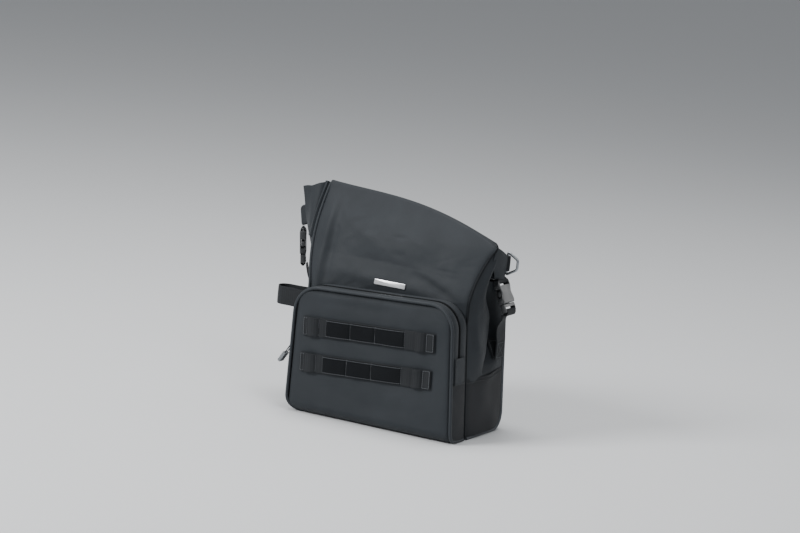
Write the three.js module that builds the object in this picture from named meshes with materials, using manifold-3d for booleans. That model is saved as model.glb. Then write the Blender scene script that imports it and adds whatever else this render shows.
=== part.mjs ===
/**
 * A roll-top saddle bag for the side of a motorcycle's rear wheel.
 *
 * Millimetres, +Z up. The bag stands on its base. -Y is the outside of the bag, with the zipped
 * pocket, and +Y is the side that faces the machine. -X is the tall end and +X the low end.
 * The origin is the centre of the footprint.
 */
import * as THREE from 'three';
import { mergeVertices } from 'three/addons/utils/BufferGeometryUtils.js';
import Module from 'manifold-3d';

const wasm = await Module();
wasm.setup();

// ---------------------------------------------------------------- driving dimensions

// Main compartment
const baseHalfWidth = 125;
const bodyDepth = 110;
const panelThickness = 3;
const gussetThickness = 2.5;
const clearance = 0.3;
const cornerRadius = 25; // the base turns up into the back
const lowEndTaper = 14; // the low end leans in by this much
const taperHeight = 150;
const boardThickness = 3;

// Ridge: the first fold of the rolled top
const ridgeTallHeight = 302;
const ridgeLowHeight = 255;
const ridgeTallReach = 131;
const ridgeLowReach = 127;
const ridgeSetback = 38;
const ridgeBow = 14;
const ridgeSkew = 1.2;
const leanStartTall = 168;
const leanStartLow = 180;
const leanPower = 1.15;
const frontCrown = 6;
const crownStart = 0.33;
const tallEndBulge = 8;

// Rolled top
const rollThickness = 24;
const rollFrontSetback = 52.5;
const rollTallEnd = 170;
const rollLowEnd = 116;
const rollTallBottom = 232;
const rollLowBottom = 207;
const rollEndDrop = 25;
const rollEndDropLength = 50;
const rollLean = 18.5; // the roll's top comes forward to the ridge
const rollLeanPower = 2;
const stripWidth = 20;
const stripThickness = 1.8;

// Gussets
const foldDepth = 24; // the low end's gusset folds inwards
const foldAround = 0.6; // of the way from the front seam to the back one
const foldHalfWidth = 0.2;
const rearPuff = 3; // the cloth behind the fold stands out
const foldBottom = 85;
const foldTop = 225;
const gussetPuff = 3;
const earSpread = 37.5; // the tall end's gusset flattens outwards into an ear
const earSpreadStart = 120;
const earTipHeight = 287;
const earBottom = 228;
const earThickness = 5;
const earSetback = 44;
const gussetLowTop = 249;

// Seams
const pipingRadius = 2.2;
const pipingInset = 1.2;

// Reinforced lower band
const bandHeightFront = 80;
const bandHeightBack = 85;
const bandThickness = 1.8;

// Pocket
const pocketDepth = 40;
const pocketTallHeight = 170;
const pocketLowHeight = 181.5;
const pocketLowReach = 109;
const pocketTopRadius = 36;
const pocketTallFootRadius = 22;
const pocketLowFootRadius = 3;
const pocketFootCurl = 16; // the front wraps under the pocket to the base
const pocketWall = 2.5;
const pocketFoldHeight = 52;
const zipEndHeight = 80;
const zipGap = 4.6;
const zipSetback = 20; // from the pocket's front face to the middle of the zip
const zipChainRise = 1.5;

// Webbing
const webbingWidth = 25;
const webbingThickness = 1.6;
const narrowWebbingWidth = 20;

// Webbing rows on the pocket
const rowLength = 195;
const rowStart = 19; // from the pocket's tall edge
const rowTallHeights = { upper: 118.5, lower: 70 };
const rowRise = 10.6; // over the row's length
const rowStitches = [0, 6, 24, 35, 71, 108, 152, 168, 183, rowLength];
const liftedCells = [1, 7];
const cellLift = 2.2;
const patchFirstStitch = 3;
const patchLastStitch = 6;
const patchThickness = 1.8;
const patchWidth = 21;

// Name plate
const plateLength = 46;
const plateHeight = 7;
const plateThickness = 1.2;
const plateCentreHeight = 187.5;
const plateCentreAcross = 0.528;

// Side-release buckles, in their own frame: X out, Y across, Z from the male to the female half
const buckleWidth = 33;
const buckleThickness = 8.6;
const housingLength = 31.5;
const cavityHalfWidth = 13.2;
const cavityHalfHeight = 3;
const cavityDepth = 22.8;
const grooveHalfWidth = 15.6;
const grooveHalfHeight = 2.3;
const windowStart = 8.5;
const windowEnd = 20;
const barHalfThickness = 1.7;
const barWidth = 3;
const slotHeight = 4.2;
const slotHalfWidth = 12.9;
const stemLength = 11.6;
const stemHalfWidth = 15.4;
const stemHalfHeight = 3.5;
const tongueHalfWidth = 3;
const tongueLength = 18;
const armLength = 19;
const armInnerY = 9.5;
const armOuterY = 12.7;
const barbOuterY = 15.2;
const latchSink = 0.6; // the stem's shoulder lies this far below the housing's mouth
const lowBuckleReach = 5.3; // out from the rolled top's end
const tallBuckleReach = 11;
const lowBuckleSetback = 1.5; // behind the middle of the rolled top
const tallBuckleSetback = 1;

// Side straps, from the buckles down to their anchors on the gussets
const lowStrapSag = 0;
const lowStrapTuck = 4.5; // the strap is drawn in under the buckle and stands out above its anchor
const tallStrapSag = 9;
const tallStrapTuck = 0;
const anchorAround = 0.76;
const lowAnchorHeight = 112;
const tallAnchorHeight = 104;
const anchorAhead = 0.1; // around the gusset, to the front edge of the patch
const anchorBehind = 0.115;
const anchorFollow = 0.8;

// Ring at the low end
const ringWire = 1.75;
const ringInnerLength = 30;
const ringOuterLength = 13;
const ringReach = 15;
const ringCentreHeight = 229;
const ringStandOff = 6.9;

// Zip slider and puller
const sliderHeight = 88;
const sliderLength = 12;
const sliderWidth = 10;
const sliderThickness = 4.4;
const lugThickness = 3;
const cordRadius = 0.8;
const cordLength = 18;
const cordSpread = 3.2;
const pullerTilt = 32;
const pullTabLength = 15;
const pullTabWidth = 10;
const pullTabThickness = 5;
const pullTabRibs = 5;

// Mounting loops
const mountLoopReach = 46;
const mountLoopRadius = 12;
const mountLoopHeight = 142;
const mountLoopFront = 6;
const backLoopOffset = 60;
const backLoopBottom = 92;
const backLoopTop = 148;

// ---------------------------------------------------------------- values worked out from them

const seamTrim = pipingInset + pipingRadius + clearance;
const backTrim = 2 * (pipingRadius + clearance);
const panelFace = -(pipingRadius - pipingInset);
const pocketBack = panelFace - clearance;
const pocketFront = -pocketDepth;
const pocketBottom = pipingRadius - pipingInset;
const rollBackSetback = rollFrontSetback + rollThickness;
const footprintCentre = (bodyDepth - pocketDepth) / 2;
const { lerp, clamp, smoothstep, degToRad } = THREE.MathUtils;
const vector = (x, y, z) => new THREE.Vector3(x, y, z);

// ---------------------------------------------------------------- materials

function finish(color, roughness, metalness = 0) {
  return new THREE.MeshStandardMaterial({ color, roughness, metalness });
}
const shellFabric = finish(0x3b4043, 0.75);
const bandFabric = finish(0x34393c, 0.7);
const pipingFabric = finish(0x24272a, 0.6);
const webbing = finish(0x2d3134, 0.85);
const hookFabric = finish(0x151719, 0.95);
const liningBoard = finish(0x1d1e20, 0.6);
const zipTape = finish(0x1e2124, 0.8);
const moulding = finish(0x17191b, 0.4);
const gunmetal = finish(0x7f858a, 0.35, 0.9);
const brushedSteel = finish(0xc9cdd0, 0.3, 1);
const rubber = finish(0x8a9093, 0.7);
const cord = finish(0x1c1e20, 0.8);

// ---------------------------------------------------------------- geometry helpers

/** A closed geometry from points and triangles, turned so that its faces point out. */
function closedGeometry(points, triangles) {
  let volume = 0;
  for (let i = 0; i < triangles.length; i += 3) {
    const [a, b, c] = [0, 1, 2].map((k) => points[triangles[i + k]]);
    volume += a.dot(b.clone().cross(c));
  }
  if (volume < 0) triangles.reverse();
  const geometry = new THREE.BufferGeometry();
  geometry.setAttribute('position', new THREE.Float32BufferAttribute(points.flatMap((p) => p.toArray()), 3));
  geometry.setIndex(triangles);
  return geometry;
}

/** The solid between two surfaces, each a function of two numbers from 0 to 1. */
function slab(outer, inner, across, up) {
  const points = [];
  for (const surface of [outer, inner]) {
    for (let j = 0; j <= up; j++) {
      for (let i = 0; i <= across; i++) points.push(surface(i / across, j / up));
    }
  }
  const row = across + 1;
  const layer = row * (up + 1);
  const triangles = [];
  const quad = (a, b, c, d) => triangles.push(a, b, c, a, c, d);
  for (let j = 0; j < up; j++) {
    for (let i = 0; i < across; i++) {
      const a = j * row + i;
      quad(a, a + 1, a + row + 1, a + row);
      quad(layer + a, layer + a + row, layer + a + row + 1, layer + a + 1);
    }
    const left = j * row;
    const right = left + across;
    quad(left, left + row, layer + left + row, layer + left);
    quad(right + row, right, layer + right, layer + right + row);
  }
  for (let i = 0; i < across; i++) {
    const top = up * row + i;
    quad(i + 1, i, layer + i, layer + i + 1);
    quad(top, top + 1, layer + top + 1, layer + top);
  }
  return closedGeometry(points, triangles);
}

/** The solid through a row of convex sections with the same number of points. */
function loft(sections, closed = false) {
  const count = sections[0].length;
  const triangles = [];
  const last = closed ? sections.length : sections.length - 1;
  for (let j = 0; j < last; j++) {
    const here = j * count;
    const next = ((j + 1) % sections.length) * count;
    for (let i = 0; i < count; i++) {
      const k = (i + 1) % count;
      triangles.push(here + i, here + k, next + k, here + i, next + k, next + i);
    }
  }
  if (!closed) {
    const end = (sections.length - 1) * count;
    for (let i = 1; i < count - 1; i++) {
      triangles.push(0, i + 1, i);
      triangles.push(end, end + i, end + i + 1);
    }
  }
  return closedGeometry(sections.flat(), triangles);
}

/** Direction along a row of points at one of them. */
function direction(points, i, closed) {
  const n = points.length;
  const before = closed ? points[(i + n - 1) % n] : points[Math.max(i - 1, 0)];
  const after = closed ? points[(i + 1) % n] : points[Math.min(i + 1, n - 1)];
  return after.clone().sub(before).normalize();
}

/** A round tube along points; side is any direction that the path never runs along. */
function tube(points, side, radius, sides = 8, closed = false) {
  const sections = points.map((point, i) => {
    const along = direction(points, i, closed);
    const across = side.clone().cross(along).normalize();
    const third = along.clone().cross(across);
    return Array.from({ length: sides }, (_, k) => {
      const angle = (2 * Math.PI * k) / sides;
      const offset = across.clone().multiplyScalar(radius * Math.cos(angle));
      return point.clone().add(offset.addScaledVector(third, radius * Math.sin(angle)));
    });
  });
  return loft(sections, closed);
}

/** A flat strap along points. outward holds one direction for all points or one for each. */
function ribbon(points, outward, width, thickness = webbingThickness) {
  const sections = points.map((point, i) => {
    const along = direction(points, i, false);
    const out = Array.isArray(outward) ? outward[i] : outward;
    const across = along.clone().cross(out).normalize();
    const normal = across.clone().cross(along).normalize();
    return [[-1, -1], [1, -1], [1, 1], [-1, 1]].map(([a, b]) => point.clone()
      .addScaledVector(across, (a * width) / 2)
      .addScaledVector(normal, (b * thickness) / 2));
  });
  return loft(sections);
}

/** Points along a smooth curve through a few chosen ones. */
function smoothPath(points, count) {
  return new THREE.CatmullRomCurve3(points, false, 'centripetal').getPoints(count);
}

/** A polygon with rounded corners, moved in by inset. Corners run counter-clockwise. */
function roundedPolygon(corners, radii, inset = 0, steps = 6) {
  const n = corners.length;
  const edges = corners.map((corner, i) => {
    const along = corners[(i + 1) % n].clone().sub(corner).normalize();
    const inwards = new THREE.Vector2(-along.y, along.x);
    return { along, start: corner.clone().addScaledVector(inwards, inset) };
  });
  return corners.flatMap((_, i) => {
    const before = edges[(i + n - 1) % n];
    const after = edges[i];
    const gap = after.start.clone().sub(before.start);
    const reach = gap.cross(after.along) / before.along.cross(after.along);
    const corner = before.start.clone().addScaledVector(before.along, reach);
    const turn = Math.acos(before.along.dot(after.along));
    const radius = Math.max(radii[i] - inset, clearance);
    const tangent = radius * Math.tan(turn / 2);
    const from = corner.clone().addScaledVector(before.along, -tangent);
    const inwards = new THREE.Vector2(-before.along.y, before.along.x);
    const centre = from.clone().addScaledVector(inwards, radius);
    return Array.from({ length: steps + 1 }, (_unused, k) => (
      from.clone().rotateAround(centre, (turn * k) / steps)
    ));
  });
}

/** An outline in the XZ plane, given thickness from one Y to another. */
function extrudeAlongY(outline, fromY, toY, hole = null) {
  const shape = new THREE.Shape(outline);
  if (hole) shape.holes.push(new THREE.Path(hole));
  const geometry = new THREE.ExtrudeGeometry(shape, { depth: toY - fromY, bevelEnabled: false });
  return geometry.rotateX(Math.PI / 2).translate(0, toY, 0);
}

/** A box from its lowest to its highest corner. */
function block(low, high) {
  const size = high.map((value, i) => value - low[i]);
  const middle = high.map((value, i) => (value + low[i]) / 2);
  return new THREE.BoxGeometry(...size).translate(...middle);
}

function toManifold(geometry) {
  const bare = geometry.clone();
  bare.deleteAttribute('normal');
  bare.deleteAttribute('uv');
  const merged = mergeVertices(bare, 1e-4);
  return new wasm.Manifold(new wasm.Mesh({
    numProp: 3,
    vertProperties: new Float32Array(merged.attributes.position.array),
    triVerts: new Uint32Array(merged.index.array),
  }));
}

function fromManifold(solid) {
  const mesh = solid.getMesh();
  const geometry = new THREE.BufferGeometry();
  geometry.setAttribute('position', new THREE.Float32BufferAttribute(mesh.vertProperties, 3));
  geometry.setIndex(Array.from(mesh.triVerts));
  return geometry;
}

function cut(geometry, ...tools) {
  return fromManifold(tools.reduce((solid, tool) => solid.subtract(toManifold(tool)), toManifold(geometry)));
}

function join(geometry, ...others) {
  return fromManifold(others.reduce((solid, other) => solid.add(toManifold(other)), toManifold(geometry)));
}

/** The part of a geometry that lies between two heights. */
function between(geometry, low, high) {
  const reach = 2 * ridgeTallHeight;
  const keep = block([-reach, -reach, low], [reach, reach, high]);
  return fromManifold(toManifold(geometry).intersect(toManifold(keep)));
}

const bag = new THREE.Group();
bag.position.y = -footprintCentre;

function add(name, geometry, material, parent = bag) {
  const mesh = new THREE.Mesh(geometry, material);
  mesh.name = name;
  parent.add(mesh);
  return mesh;
}

// ---------------------------------------------------------------- the compartment's surfaces
// across runs from 0 at the tall end (-X) to 1 at the low end (+X); side is -1 or 1.

const ridgeHeight = (across) => (
  lerp(ridgeTallHeight, ridgeLowHeight, across) + ridgeBow * Math.sin(Math.PI * across ** ridgeSkew)
);

/** 0 where the front starts to lean back, 1 at the ridge. */
function lean(across, z) {
  const start = lerp(leanStartTall, leanStartLow, across);
  return clamp((z - start) / (ridgeHeight(across) - start), 0, 1);
}

function frontY(across, z) {
  const h = lean(across, z);
  const swell = clamp((h - crownStart) / (1 - crownStart), 0, 1);
  const crown = frontCrown * Math.sin(Math.PI * swell) * 4 * across * (1 - across);
  return ridgeSetback * h ** leanPower - crown;
}

/** X of the seam between the front and a gusset. */
function seamX(side, z) {
  if (side < 0) {
    const grow = (ridgeTallReach - baseHalfWidth) * (z / ridgeTallHeight);
    return -(baseHalfWidth + grow + tallEndBulge * Math.sin(Math.PI * lean(0, z)));
  }
  const taper = lowEndTaper * Math.min(z / taperHeight, 1);
  const flare = (ridgeLowReach - baseHalfWidth + lowEndTaper) * lean(1, z) ** 2.2;
  return baseHalfWidth - taper + flare;
}

/** Y of the back's outside, with its turned-up lower corner. */
function backY(across, z) {
  if (z < cornerRadius) {
    return bodyDepth - cornerRadius + Math.sqrt(cornerRadius ** 2 - (cornerRadius - z) ** 2);
  }
  const rollLow = lerp(rollTallBottom, rollLowBottom, across);
  return lerp(bodyDepth, rollBackSetback - panelThickness, smoothstep(z, taperHeight, rollLow));
}

/** X of the seam between the back and a gusset. */
function backSeamX(side, z) {
  const grow = (ridgeTallReach - baseHalfWidth) * (z / ridgeTallHeight);
  if (side < 0) return -(baseHalfWidth + grow);
  return baseHalfWidth - lowEndTaper * Math.min(z / taperHeight, 1) + grow;
}

/** Point of the front above the pocket. */
function frontPoint(across, up) {
  const z = lerp(taperHeight + clearance, ridgeHeight(across), up);
  const tall = seamX(-1, lerp(taperHeight, ridgeTallHeight, up)) + seamTrim;
  const low = seamX(1, lerp(taperHeight, ridgeLowHeight, up)) - seamTrim;
  return vector(lerp(tall, low, across), frontY(across, z) + panelFace, z);
}

/** Y of a gusset's back edge, which runs inside the piping and round the turned-up corner. */
function gussetBackY(across, z) {
  if (z >= cornerRadius) {
    const slope = backY(across, z + 1) - backY(across, z);
    return backY(across, z) - backTrim * Math.hypot(1, slope);
  }
  const radius = cornerRadius - backTrim;
  return bodyDepth - cornerRadius + Math.sqrt(Math.max(radius ** 2 - (cornerRadius - z) ** 2, 0));
}

/** Outside of a gusset: around runs from the front seam to the back seam, z is the height. */
function gussetPoint(side, around, z) {
  const across = side < 0 ? 0 : 1;
  const front = frontY(across, z) + seamTrim + pipingInset * lean(across, z);
  const y = lerp(front, gussetBackY(across, z), around);
  const wave = Math.sin(Math.PI * around);
  let x = lerp(seamX(side, z), backSeamX(side, z), around) + side * gussetPuff * wave;
  if (side < 0) {
    x -= earSpread * clamp((z - earSpreadStart) / (earTipHeight - earSpreadStart), 0, 1) ** 1.5 * wave;
  } else {
    const deep = Math.sin(Math.PI * clamp((z - foldBottom) / (foldTop - foldBottom), 0, 1));
    const behind = clamp((around - foldAround) / (1 - foldAround), 0, 1);
    x -= foldDepth * deep * (1 - smoothstep(Math.abs(around - foldAround), 0, foldHalfWidth));
    x += rearPuff * deep * Math.sin(Math.PI * behind);
  }
  return vector(x, y, z);
}

/** Height of a gusset's top edge, which dips to pass below the rolled top. */
function gussetTop(side, around) {
  if (side < 0) return earBottom - clearance;
  return lerp(gussetLowTop, rollLowBottom - panelThickness, smoothstep(around, 0.2, 0.44));
}

const rollBottom = (x) => lerp(rollTallBottom, rollLowBottom, (x + rollTallEnd) / (rollTallEnd + rollLowEnd));

function rollTop(x) {
  const across = clamp((x + ridgeTallReach) / (ridgeTallReach + ridgeLowReach), 0, 1);
  const drop = clamp((rollEndDropLength - rollTallEnd - x) / rollEndDropLength, 0, 1);
  return ridgeHeight(across) - webbingThickness - rollEndDrop * drop;
}

// ---------------------------------------------------------------- main compartment

const shift = (point, x, y, z) => point.clone().add(vector(x, y, z));
const trimmedAcross = (side, z) => seamX(side, z) - side * seamTrim;

function pocketBackPanel() {
  const face = (y) => (across, up) => {
    const z = up * taperHeight;
    return vector(lerp(trimmedAcross(-1, z), trimmedAcross(1, z), across), y, z);
  };
  return slab(face(panelFace), face(panelFace + panelThickness), 4, 4);
}

function frontPanel() {
  const inner = (across, up) => shift(frontPoint(across, up), 0, panelThickness, 0);
  return slab(frontPoint, inner, 14, 12);
}

function backPanel() {
  const arcShare = 0.25;
  const surface = (inset) => (across, up) => {
    let y = bodyDepth;
    let z = cornerRadius;
    const x = lerp(-baseHalfWidth, baseHalfWidth - lowEndTaper, across);
    if (up <= arcShare) {
      const angle = (Math.PI / 2) * (up / arcShare);
      const radius = cornerRadius - inset;
      y = bodyDepth - cornerRadius + radius * Math.sin(angle);
      z = cornerRadius - radius * Math.cos(angle);
    } else {
      z = lerp(cornerRadius, rollBottom(x) - 2 * clearance, (up - arcShare) / (1 - arcShare));
      y = backY(across, z) - inset;
    }
    const tall = backSeamX(-1, z) + seamTrim;
    const low = backSeamX(1, z) - seamTrim;
    return vector(lerp(tall, low, across), y, z);
  };
  return slab(surface(0), surface(panelThickness), 8, 16);
}

const flatHalfWidth = baseHalfWidth - seamTrim;
const innerFront = panelFace + panelThickness + clearance;
const baseEnd = bodyDepth - cornerRadius - clearance;
const backInside = bodyDepth - panelThickness - clearance;
const boardMargin = 8;

add('pocket_back_panel', pocketBackPanel(), shellFabric);
add('front_panel', frontPanel(), shellFabric);
add('back_panel', backPanel(), shellFabric);
add('base_panel', block(
  [-flatHalfWidth, innerFront, 0],
  [flatHalfWidth, baseEnd, panelThickness],
), bandFabric);
add('base_board', block(
  [-flatHalfWidth + boardMargin, innerFront + boardMargin, panelThickness + clearance],
  [flatHalfWidth - boardMargin, baseEnd - clearance, panelThickness + clearance + boardThickness],
), liningBoard);
add('back_board', block(
  [-flatHalfWidth + boardMargin, backInside - boardThickness, cornerRadius + boardMargin],
  [flatHalfWidth - lowEndTaper - boardMargin, backInside, taperHeight - boardMargin],
), liningBoard);

function gusset(side) {
  const bottom = 2 * pipingRadius + clearance;
  const outer = (around, up) => gussetPoint(side, around, lerp(bottom, gussetTop(side, around), up));
  const inner = (around, up) => shift(outer(around, up), -side * gussetThickness, 0, 0);
  return slab(outer, inner, 12, 18);
}
add('gusset_tall_end', gusset(-1), shellFabric);
add('gusset_low_end', gusset(1), shellFabric);

/** The tall end's gusset, flattened outwards beside the ridge. */
function ear() {
  const middle = 0.5;
  const front = (out, up) => {
    const seamHeight = lerp(earBottom, ridgeTallHeight - pipingRadius, up);
    const edgeHeight = lerp(earBottom, earTipHeight, up);
    const seam = vector(seamX(-1, seamHeight) - pipingInset, frontY(0, seamHeight) + pipingInset, seamHeight);
    const edge = gussetPoint(-1, middle, edgeHeight);
    edge.y = earSetback;
    return seam.lerp(edge, out);
  };
  return slab(front, (out, up) => shift(front(out, up), 0, earThickness, 0), 6, 8);
}
add('gusset_ear', ear(), shellFabric);

/** The reinforced band that covers the foot of a gusset. */
function sideBand(side) {
  const bottom = 2 * pipingRadius + clearance;
  const layer = (out) => (around, up) => {
    const top = lerp(bandHeightFront, bandHeightBack, around);
    return shift(gussetPoint(side, around, lerp(bottom, top, up)), side * out, 0, 0);
  };
  return slab(layer(clearance + bandThickness), layer(clearance), 8, 8);
}
add('side_band_tall_end', sideBand(-1), bandFabric);
add('side_band_low_end', sideBand(1), bandFabric);
add('back_band', block(
  [-flatHalfWidth, bodyDepth + clearance, cornerRadius + clearance],
  [flatHalfWidth - lowEndTaper / 2, bodyDepth + clearance + bandThickness, bandHeightBack],
), bandFabric);

// ---------------------------------------------------------------- piping

function frontPiping(side) {
  const across = side < 0 ? 0 : 1;
  const top = ridgeHeight(across) - pipingRadius;
  const points = Array.from({ length: 25 }, (_, i) => {
    const z = lerp(2 * pipingRadius + clearance, top, i / 24);
    return vector(seamX(side, z) - side * pipingInset, frontY(across, z) + pipingInset, z);
  });
  return tube(points, vector(1, 0, 0), pipingRadius);
}

function backPiping(side) {
  const across = side < 0 ? 0 : 1;
  const inset = pipingRadius;
  const radius = cornerRadius - inset;
  const seam = (y, z) => vector(backSeamX(side, z) - side * pipingInset, y, z);
  const points = [seam(innerFront + 2 * pipingRadius, inset)];
  for (let i = 0; i <= 8; i++) {
    const angle = ((Math.PI / 2) * i) / 8;
    const y = bodyDepth - cornerRadius + radius * Math.sin(angle);
    points.push(seam(y, cornerRadius - radius * Math.cos(angle)));
  }
  const top = (side < 0 ? rollTallBottom : rollLowBottom) - 2 * panelThickness;
  for (let i = 1; i <= 14; i++) {
    const z = lerp(cornerRadius, top, i / 14);
    points.push(seam(backY(across, z) - inset, z));
  }
  return tube(points, vector(1, 0, 0), pipingRadius);
}

for (const [side, end] of [[-1, 'tall_end'], [1, 'low_end']]) {
  add(`front_piping_${end}`, frontPiping(side), pipingFabric);
  add(`back_piping_${end}`, backPiping(side), pipingFabric);
}

// ---------------------------------------------------------------- rolled top

/** Rounded section of the roll at x, which comes forward towards its top. */
function rollSection(x) {
  const count = 24;
  const high = rollTop(x);
  const low = rollBottom(x);
  const squareness = 0.55;
  const forward = rollLean * smoothstep(x, -ridgeTallReach, panelThickness - ridgeTallReach + rollLean);
  const shaped = (value) => Math.sign(value) * Math.abs(value) ** squareness;
  return Array.from({ length: count }, (_, i) => {
    const angle = (2 * Math.PI * i) / count;
    const height = (shaped(Math.sin(angle)) + 1) / 2;
    const y = rollMiddle - forward * height ** rollLeanPower + (rollThickness / 2) * shaped(Math.cos(angle));
    return vector(x, y, lerp(low, high, height));
  });
}

const rollMiddle = (rollFrontSetback + rollBackSetback) / 2;
const stripLift = 18;
const stripLength = rollTallEnd + rollLowEnd - 2 * panelThickness;
const stripSlope = Math.atan2(rollTallBottom - rollLowBottom, rollTallEnd + rollLowEnd);
const stripCentre = (rollLowEnd - rollTallEnd) / 2;

function stripBlock(length, thickness, width) {
  return new THREE.BoxGeometry(length, thickness, width).rotateY(stripSlope).translate(
    stripCentre,
    rollMiddle,
    rollBottom(stripCentre) + stripLift,
  );
}

function roll() {
  const steps = 18;
  const sections = Array.from({ length: steps + 1 }, (_, i) => (
    rollSection(lerp(-rollTallEnd, rollLowEnd, i / steps))
  ));
  const pocket = stripBlock(2 * stripLength, stripThickness + 2 * clearance, stripWidth + 2 * clearance);
  return cut(loft(sections), pocket);
}
add('rolled_top', roll(), shellFabric);
add('mouth_strip', stripBlock(stripLength, stripThickness, stripWidth), moulding);

const tabFace = rollLowEnd + clearance;
const closureTabRise = 5;
const closureTabLow = rollLowBottom + closureTabRise;
const tallTabDrop = 3;
const tallTabLow = rollTallBottom - tallTabDrop;
add('closure_tab_low_end', block(
  [tabFace, rollMiddle - webbingWidth / 2, closureTabLow],
  [tabFace + webbingThickness, rollMiddle + webbingWidth / 2, ringCentreHeight + webbingWidth / 2],
), webbing);

const tallTabReach = 12.5;
const tallTabSpread = 18;
const tallTabTop = 258;
const tallTabThickness = 6;
add('closure_tab_tall_end', extrudeAlongY(roundedPolygon([
  new THREE.Vector2(-rollTallEnd - tallTabReach, tallTabLow),
  new THREE.Vector2(-rollTallEnd - clearance, tallTabLow + 2 * tallTabDrop),
  new THREE.Vector2(-rollTallEnd - clearance, tallTabTop + tallTabDrop),
  new THREE.Vector2(-rollTallEnd - tallTabSpread, tallTabTop),
], [3, 1, 1, 7]), rollMiddle - tallTabThickness / 2, rollMiddle + tallTabThickness / 2), webbing);

// ---------------------------------------------------------------- ring at the low end

const ringBarX = tabFace + webbingThickness + ringStandOff;
const ringY = rollBackSetback - webbingThickness - pipingInset;

function ringTab() {
  const sleeve = 4;
  const hole = ringWire + 1.5 * clearance;
  const shape = new THREE.Shape();
  shape.moveTo(tabFace + webbingThickness + clearance, ringY - 2.5);
  shape.lineTo(ringBarX, ringY - sleeve);
  shape.absarc(ringBarX, ringY, sleeve, -Math.PI / 2, Math.PI / 2, false);
  shape.lineTo(tabFace + webbingThickness + clearance, ringY + 2.5);
  shape.closePath();
  shape.holes.push(new THREE.Path().absarc(ringBarX, ringY, hole, 0, 2 * Math.PI, true));
  const options = { depth: narrowWebbingWidth, bevelEnabled: false, curveSegments: 8 };
  return new THREE.ExtrudeGeometry(shape, options).translate(0, 0, ringCentreHeight - narrowWebbingWidth / 2);
}

function ring() {
  const inner = ringInnerLength / 2;
  const outer = ringOuterLength / 2;
  const corners = [
    new THREE.Vector2(ringBarX, ringCentreHeight - inner),
    new THREE.Vector2(ringBarX + ringReach, ringCentreHeight - outer),
    new THREE.Vector2(ringBarX + ringReach, ringCentreHeight + outer),
    new THREE.Vector2(ringBarX, ringCentreHeight + inner),
  ];
  const points = roundedPolygon(corners, [3, 3, 3, 3], 0, 5).map((p) => vector(p.x, ringY, p.y));
  return tube(points, vector(0, 1, 0), ringWire, 8, true);
}
add('ring_tab', ringTab(), webbing);
add('side_ring', ring(), gunmetal);

// ---------------------------------------------------------------- side-release buckles

/** Outline of a buckle half in its own frame, mirrored about its middle. */
function mirroredOutline(half) {
  const other = half.map(([y, z]) => [-y, z]).reverse();
  return [...half, ...other].map(([y, z]) => new THREE.Vector2(y, z));
}

/** An outline in a buckle's YZ plane, given thickness along its X. */
function extrudeAlongX(outline, halfThickness, bevel = 0) {
  const options = { depth: 2 * (halfThickness - bevel), bevelEnabled: bevel > 0, bevelSize: bevel };
  Object.assign(options, { bevelThickness: bevel, bevelSegments: 1, bevelOffset: -bevel });
  const geometry = new THREE.ExtrudeGeometry(new THREE.Shape(outline), options);
  geometry.translate(0, 0, -(halfThickness - bevel));
  const turned = new THREE.Matrix4().makeBasis(vector(0, 1, 0), vector(0, 0, 1), vector(1, 0, 0));
  return geometry.applyMatrix4(turned);
}

function housing() {
  const half = buckleWidth / 2;
  const outline = mirroredOutline([
    [half - 1, 0], [half, 4], [half - 1.2, 9], [half - 3, 14.5], [half - 1.2, 20], [half, 24],
    [half - 1, 28], [half - 2.5, housingLength],
  ]);
  const barZ = housingLength - barWidth;
  const slotZ = barZ - slotHeight;
  const reach = buckleThickness;
  const body = extrudeAlongX(outline, buckleThickness / 2, 1);
  return cut(
    body,
    block([-cavityHalfHeight, -cavityHalfWidth, -1], [cavityHalfHeight, cavityHalfWidth, cavityDepth]),
    block([-grooveHalfHeight, -grooveHalfWidth, -1], [grooveHalfHeight, grooveHalfWidth, windowEnd]),
    block([-cavityHalfHeight, -reach * 2, windowStart], [cavityHalfHeight, reach * 2, windowEnd]),
    block([-reach, -slotHalfWidth, slotZ], [reach, slotHalfWidth, barZ]),
    block([barHalfThickness, -slotHalfWidth, barZ - 1], [reach, slotHalfWidth, housingLength + 1]),
    block([-reach, -slotHalfWidth, barZ - 1], [-barHalfThickness, slotHalfWidth, housingLength + 1]),
  );
}

function stem() {
  const bottom = -latchSink - stemLength;
  const outline = mirroredOutline([
    [stemHalfWidth - 2, bottom], [stemHalfWidth, bottom + 2], [stemHalfWidth, -latchSink - 2],
    [stemHalfWidth - 1, -latchSink],
  ]);
  const barTop = bottom + barWidth;
  const reach = buckleThickness;
  const body = join(
    extrudeAlongX(outline, stemHalfHeight, 0.8),
    block(
      [-grooveHalfHeight, -tongueHalfWidth, -latchSink - 1],
      [grooveHalfHeight, tongueHalfWidth, tongueLength],
    ),
  );
  return cut(
    body,
    block([-reach, -slotHalfWidth, barTop], [reach, slotHalfWidth, barTop + slotHeight]),
    block([barHalfThickness, -slotHalfWidth, bottom - 1], [reach, slotHalfWidth, barTop + 1]),
    block([-reach, -slotHalfWidth, bottom - 1], [-barHalfThickness, slotHalfWidth, barTop + 1]),
  );
}

function latchArm(side) {
  const outline = [
    [armInnerY, -0.1], [armOuterY, -0.1], [armOuterY, 9], [barbOuterY, 10.5], [barbOuterY, 15],
    [armOuterY - 0.5, armLength], [armInnerY + 0.6, armLength], [armInnerY, 12],
  ].map(([y, z]) => new THREE.Vector2(side * y, z));
  if (side < 0) outline.reverse();
  return extrudeAlongX(outline, grooveHalfHeight - clearance);
}

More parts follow.
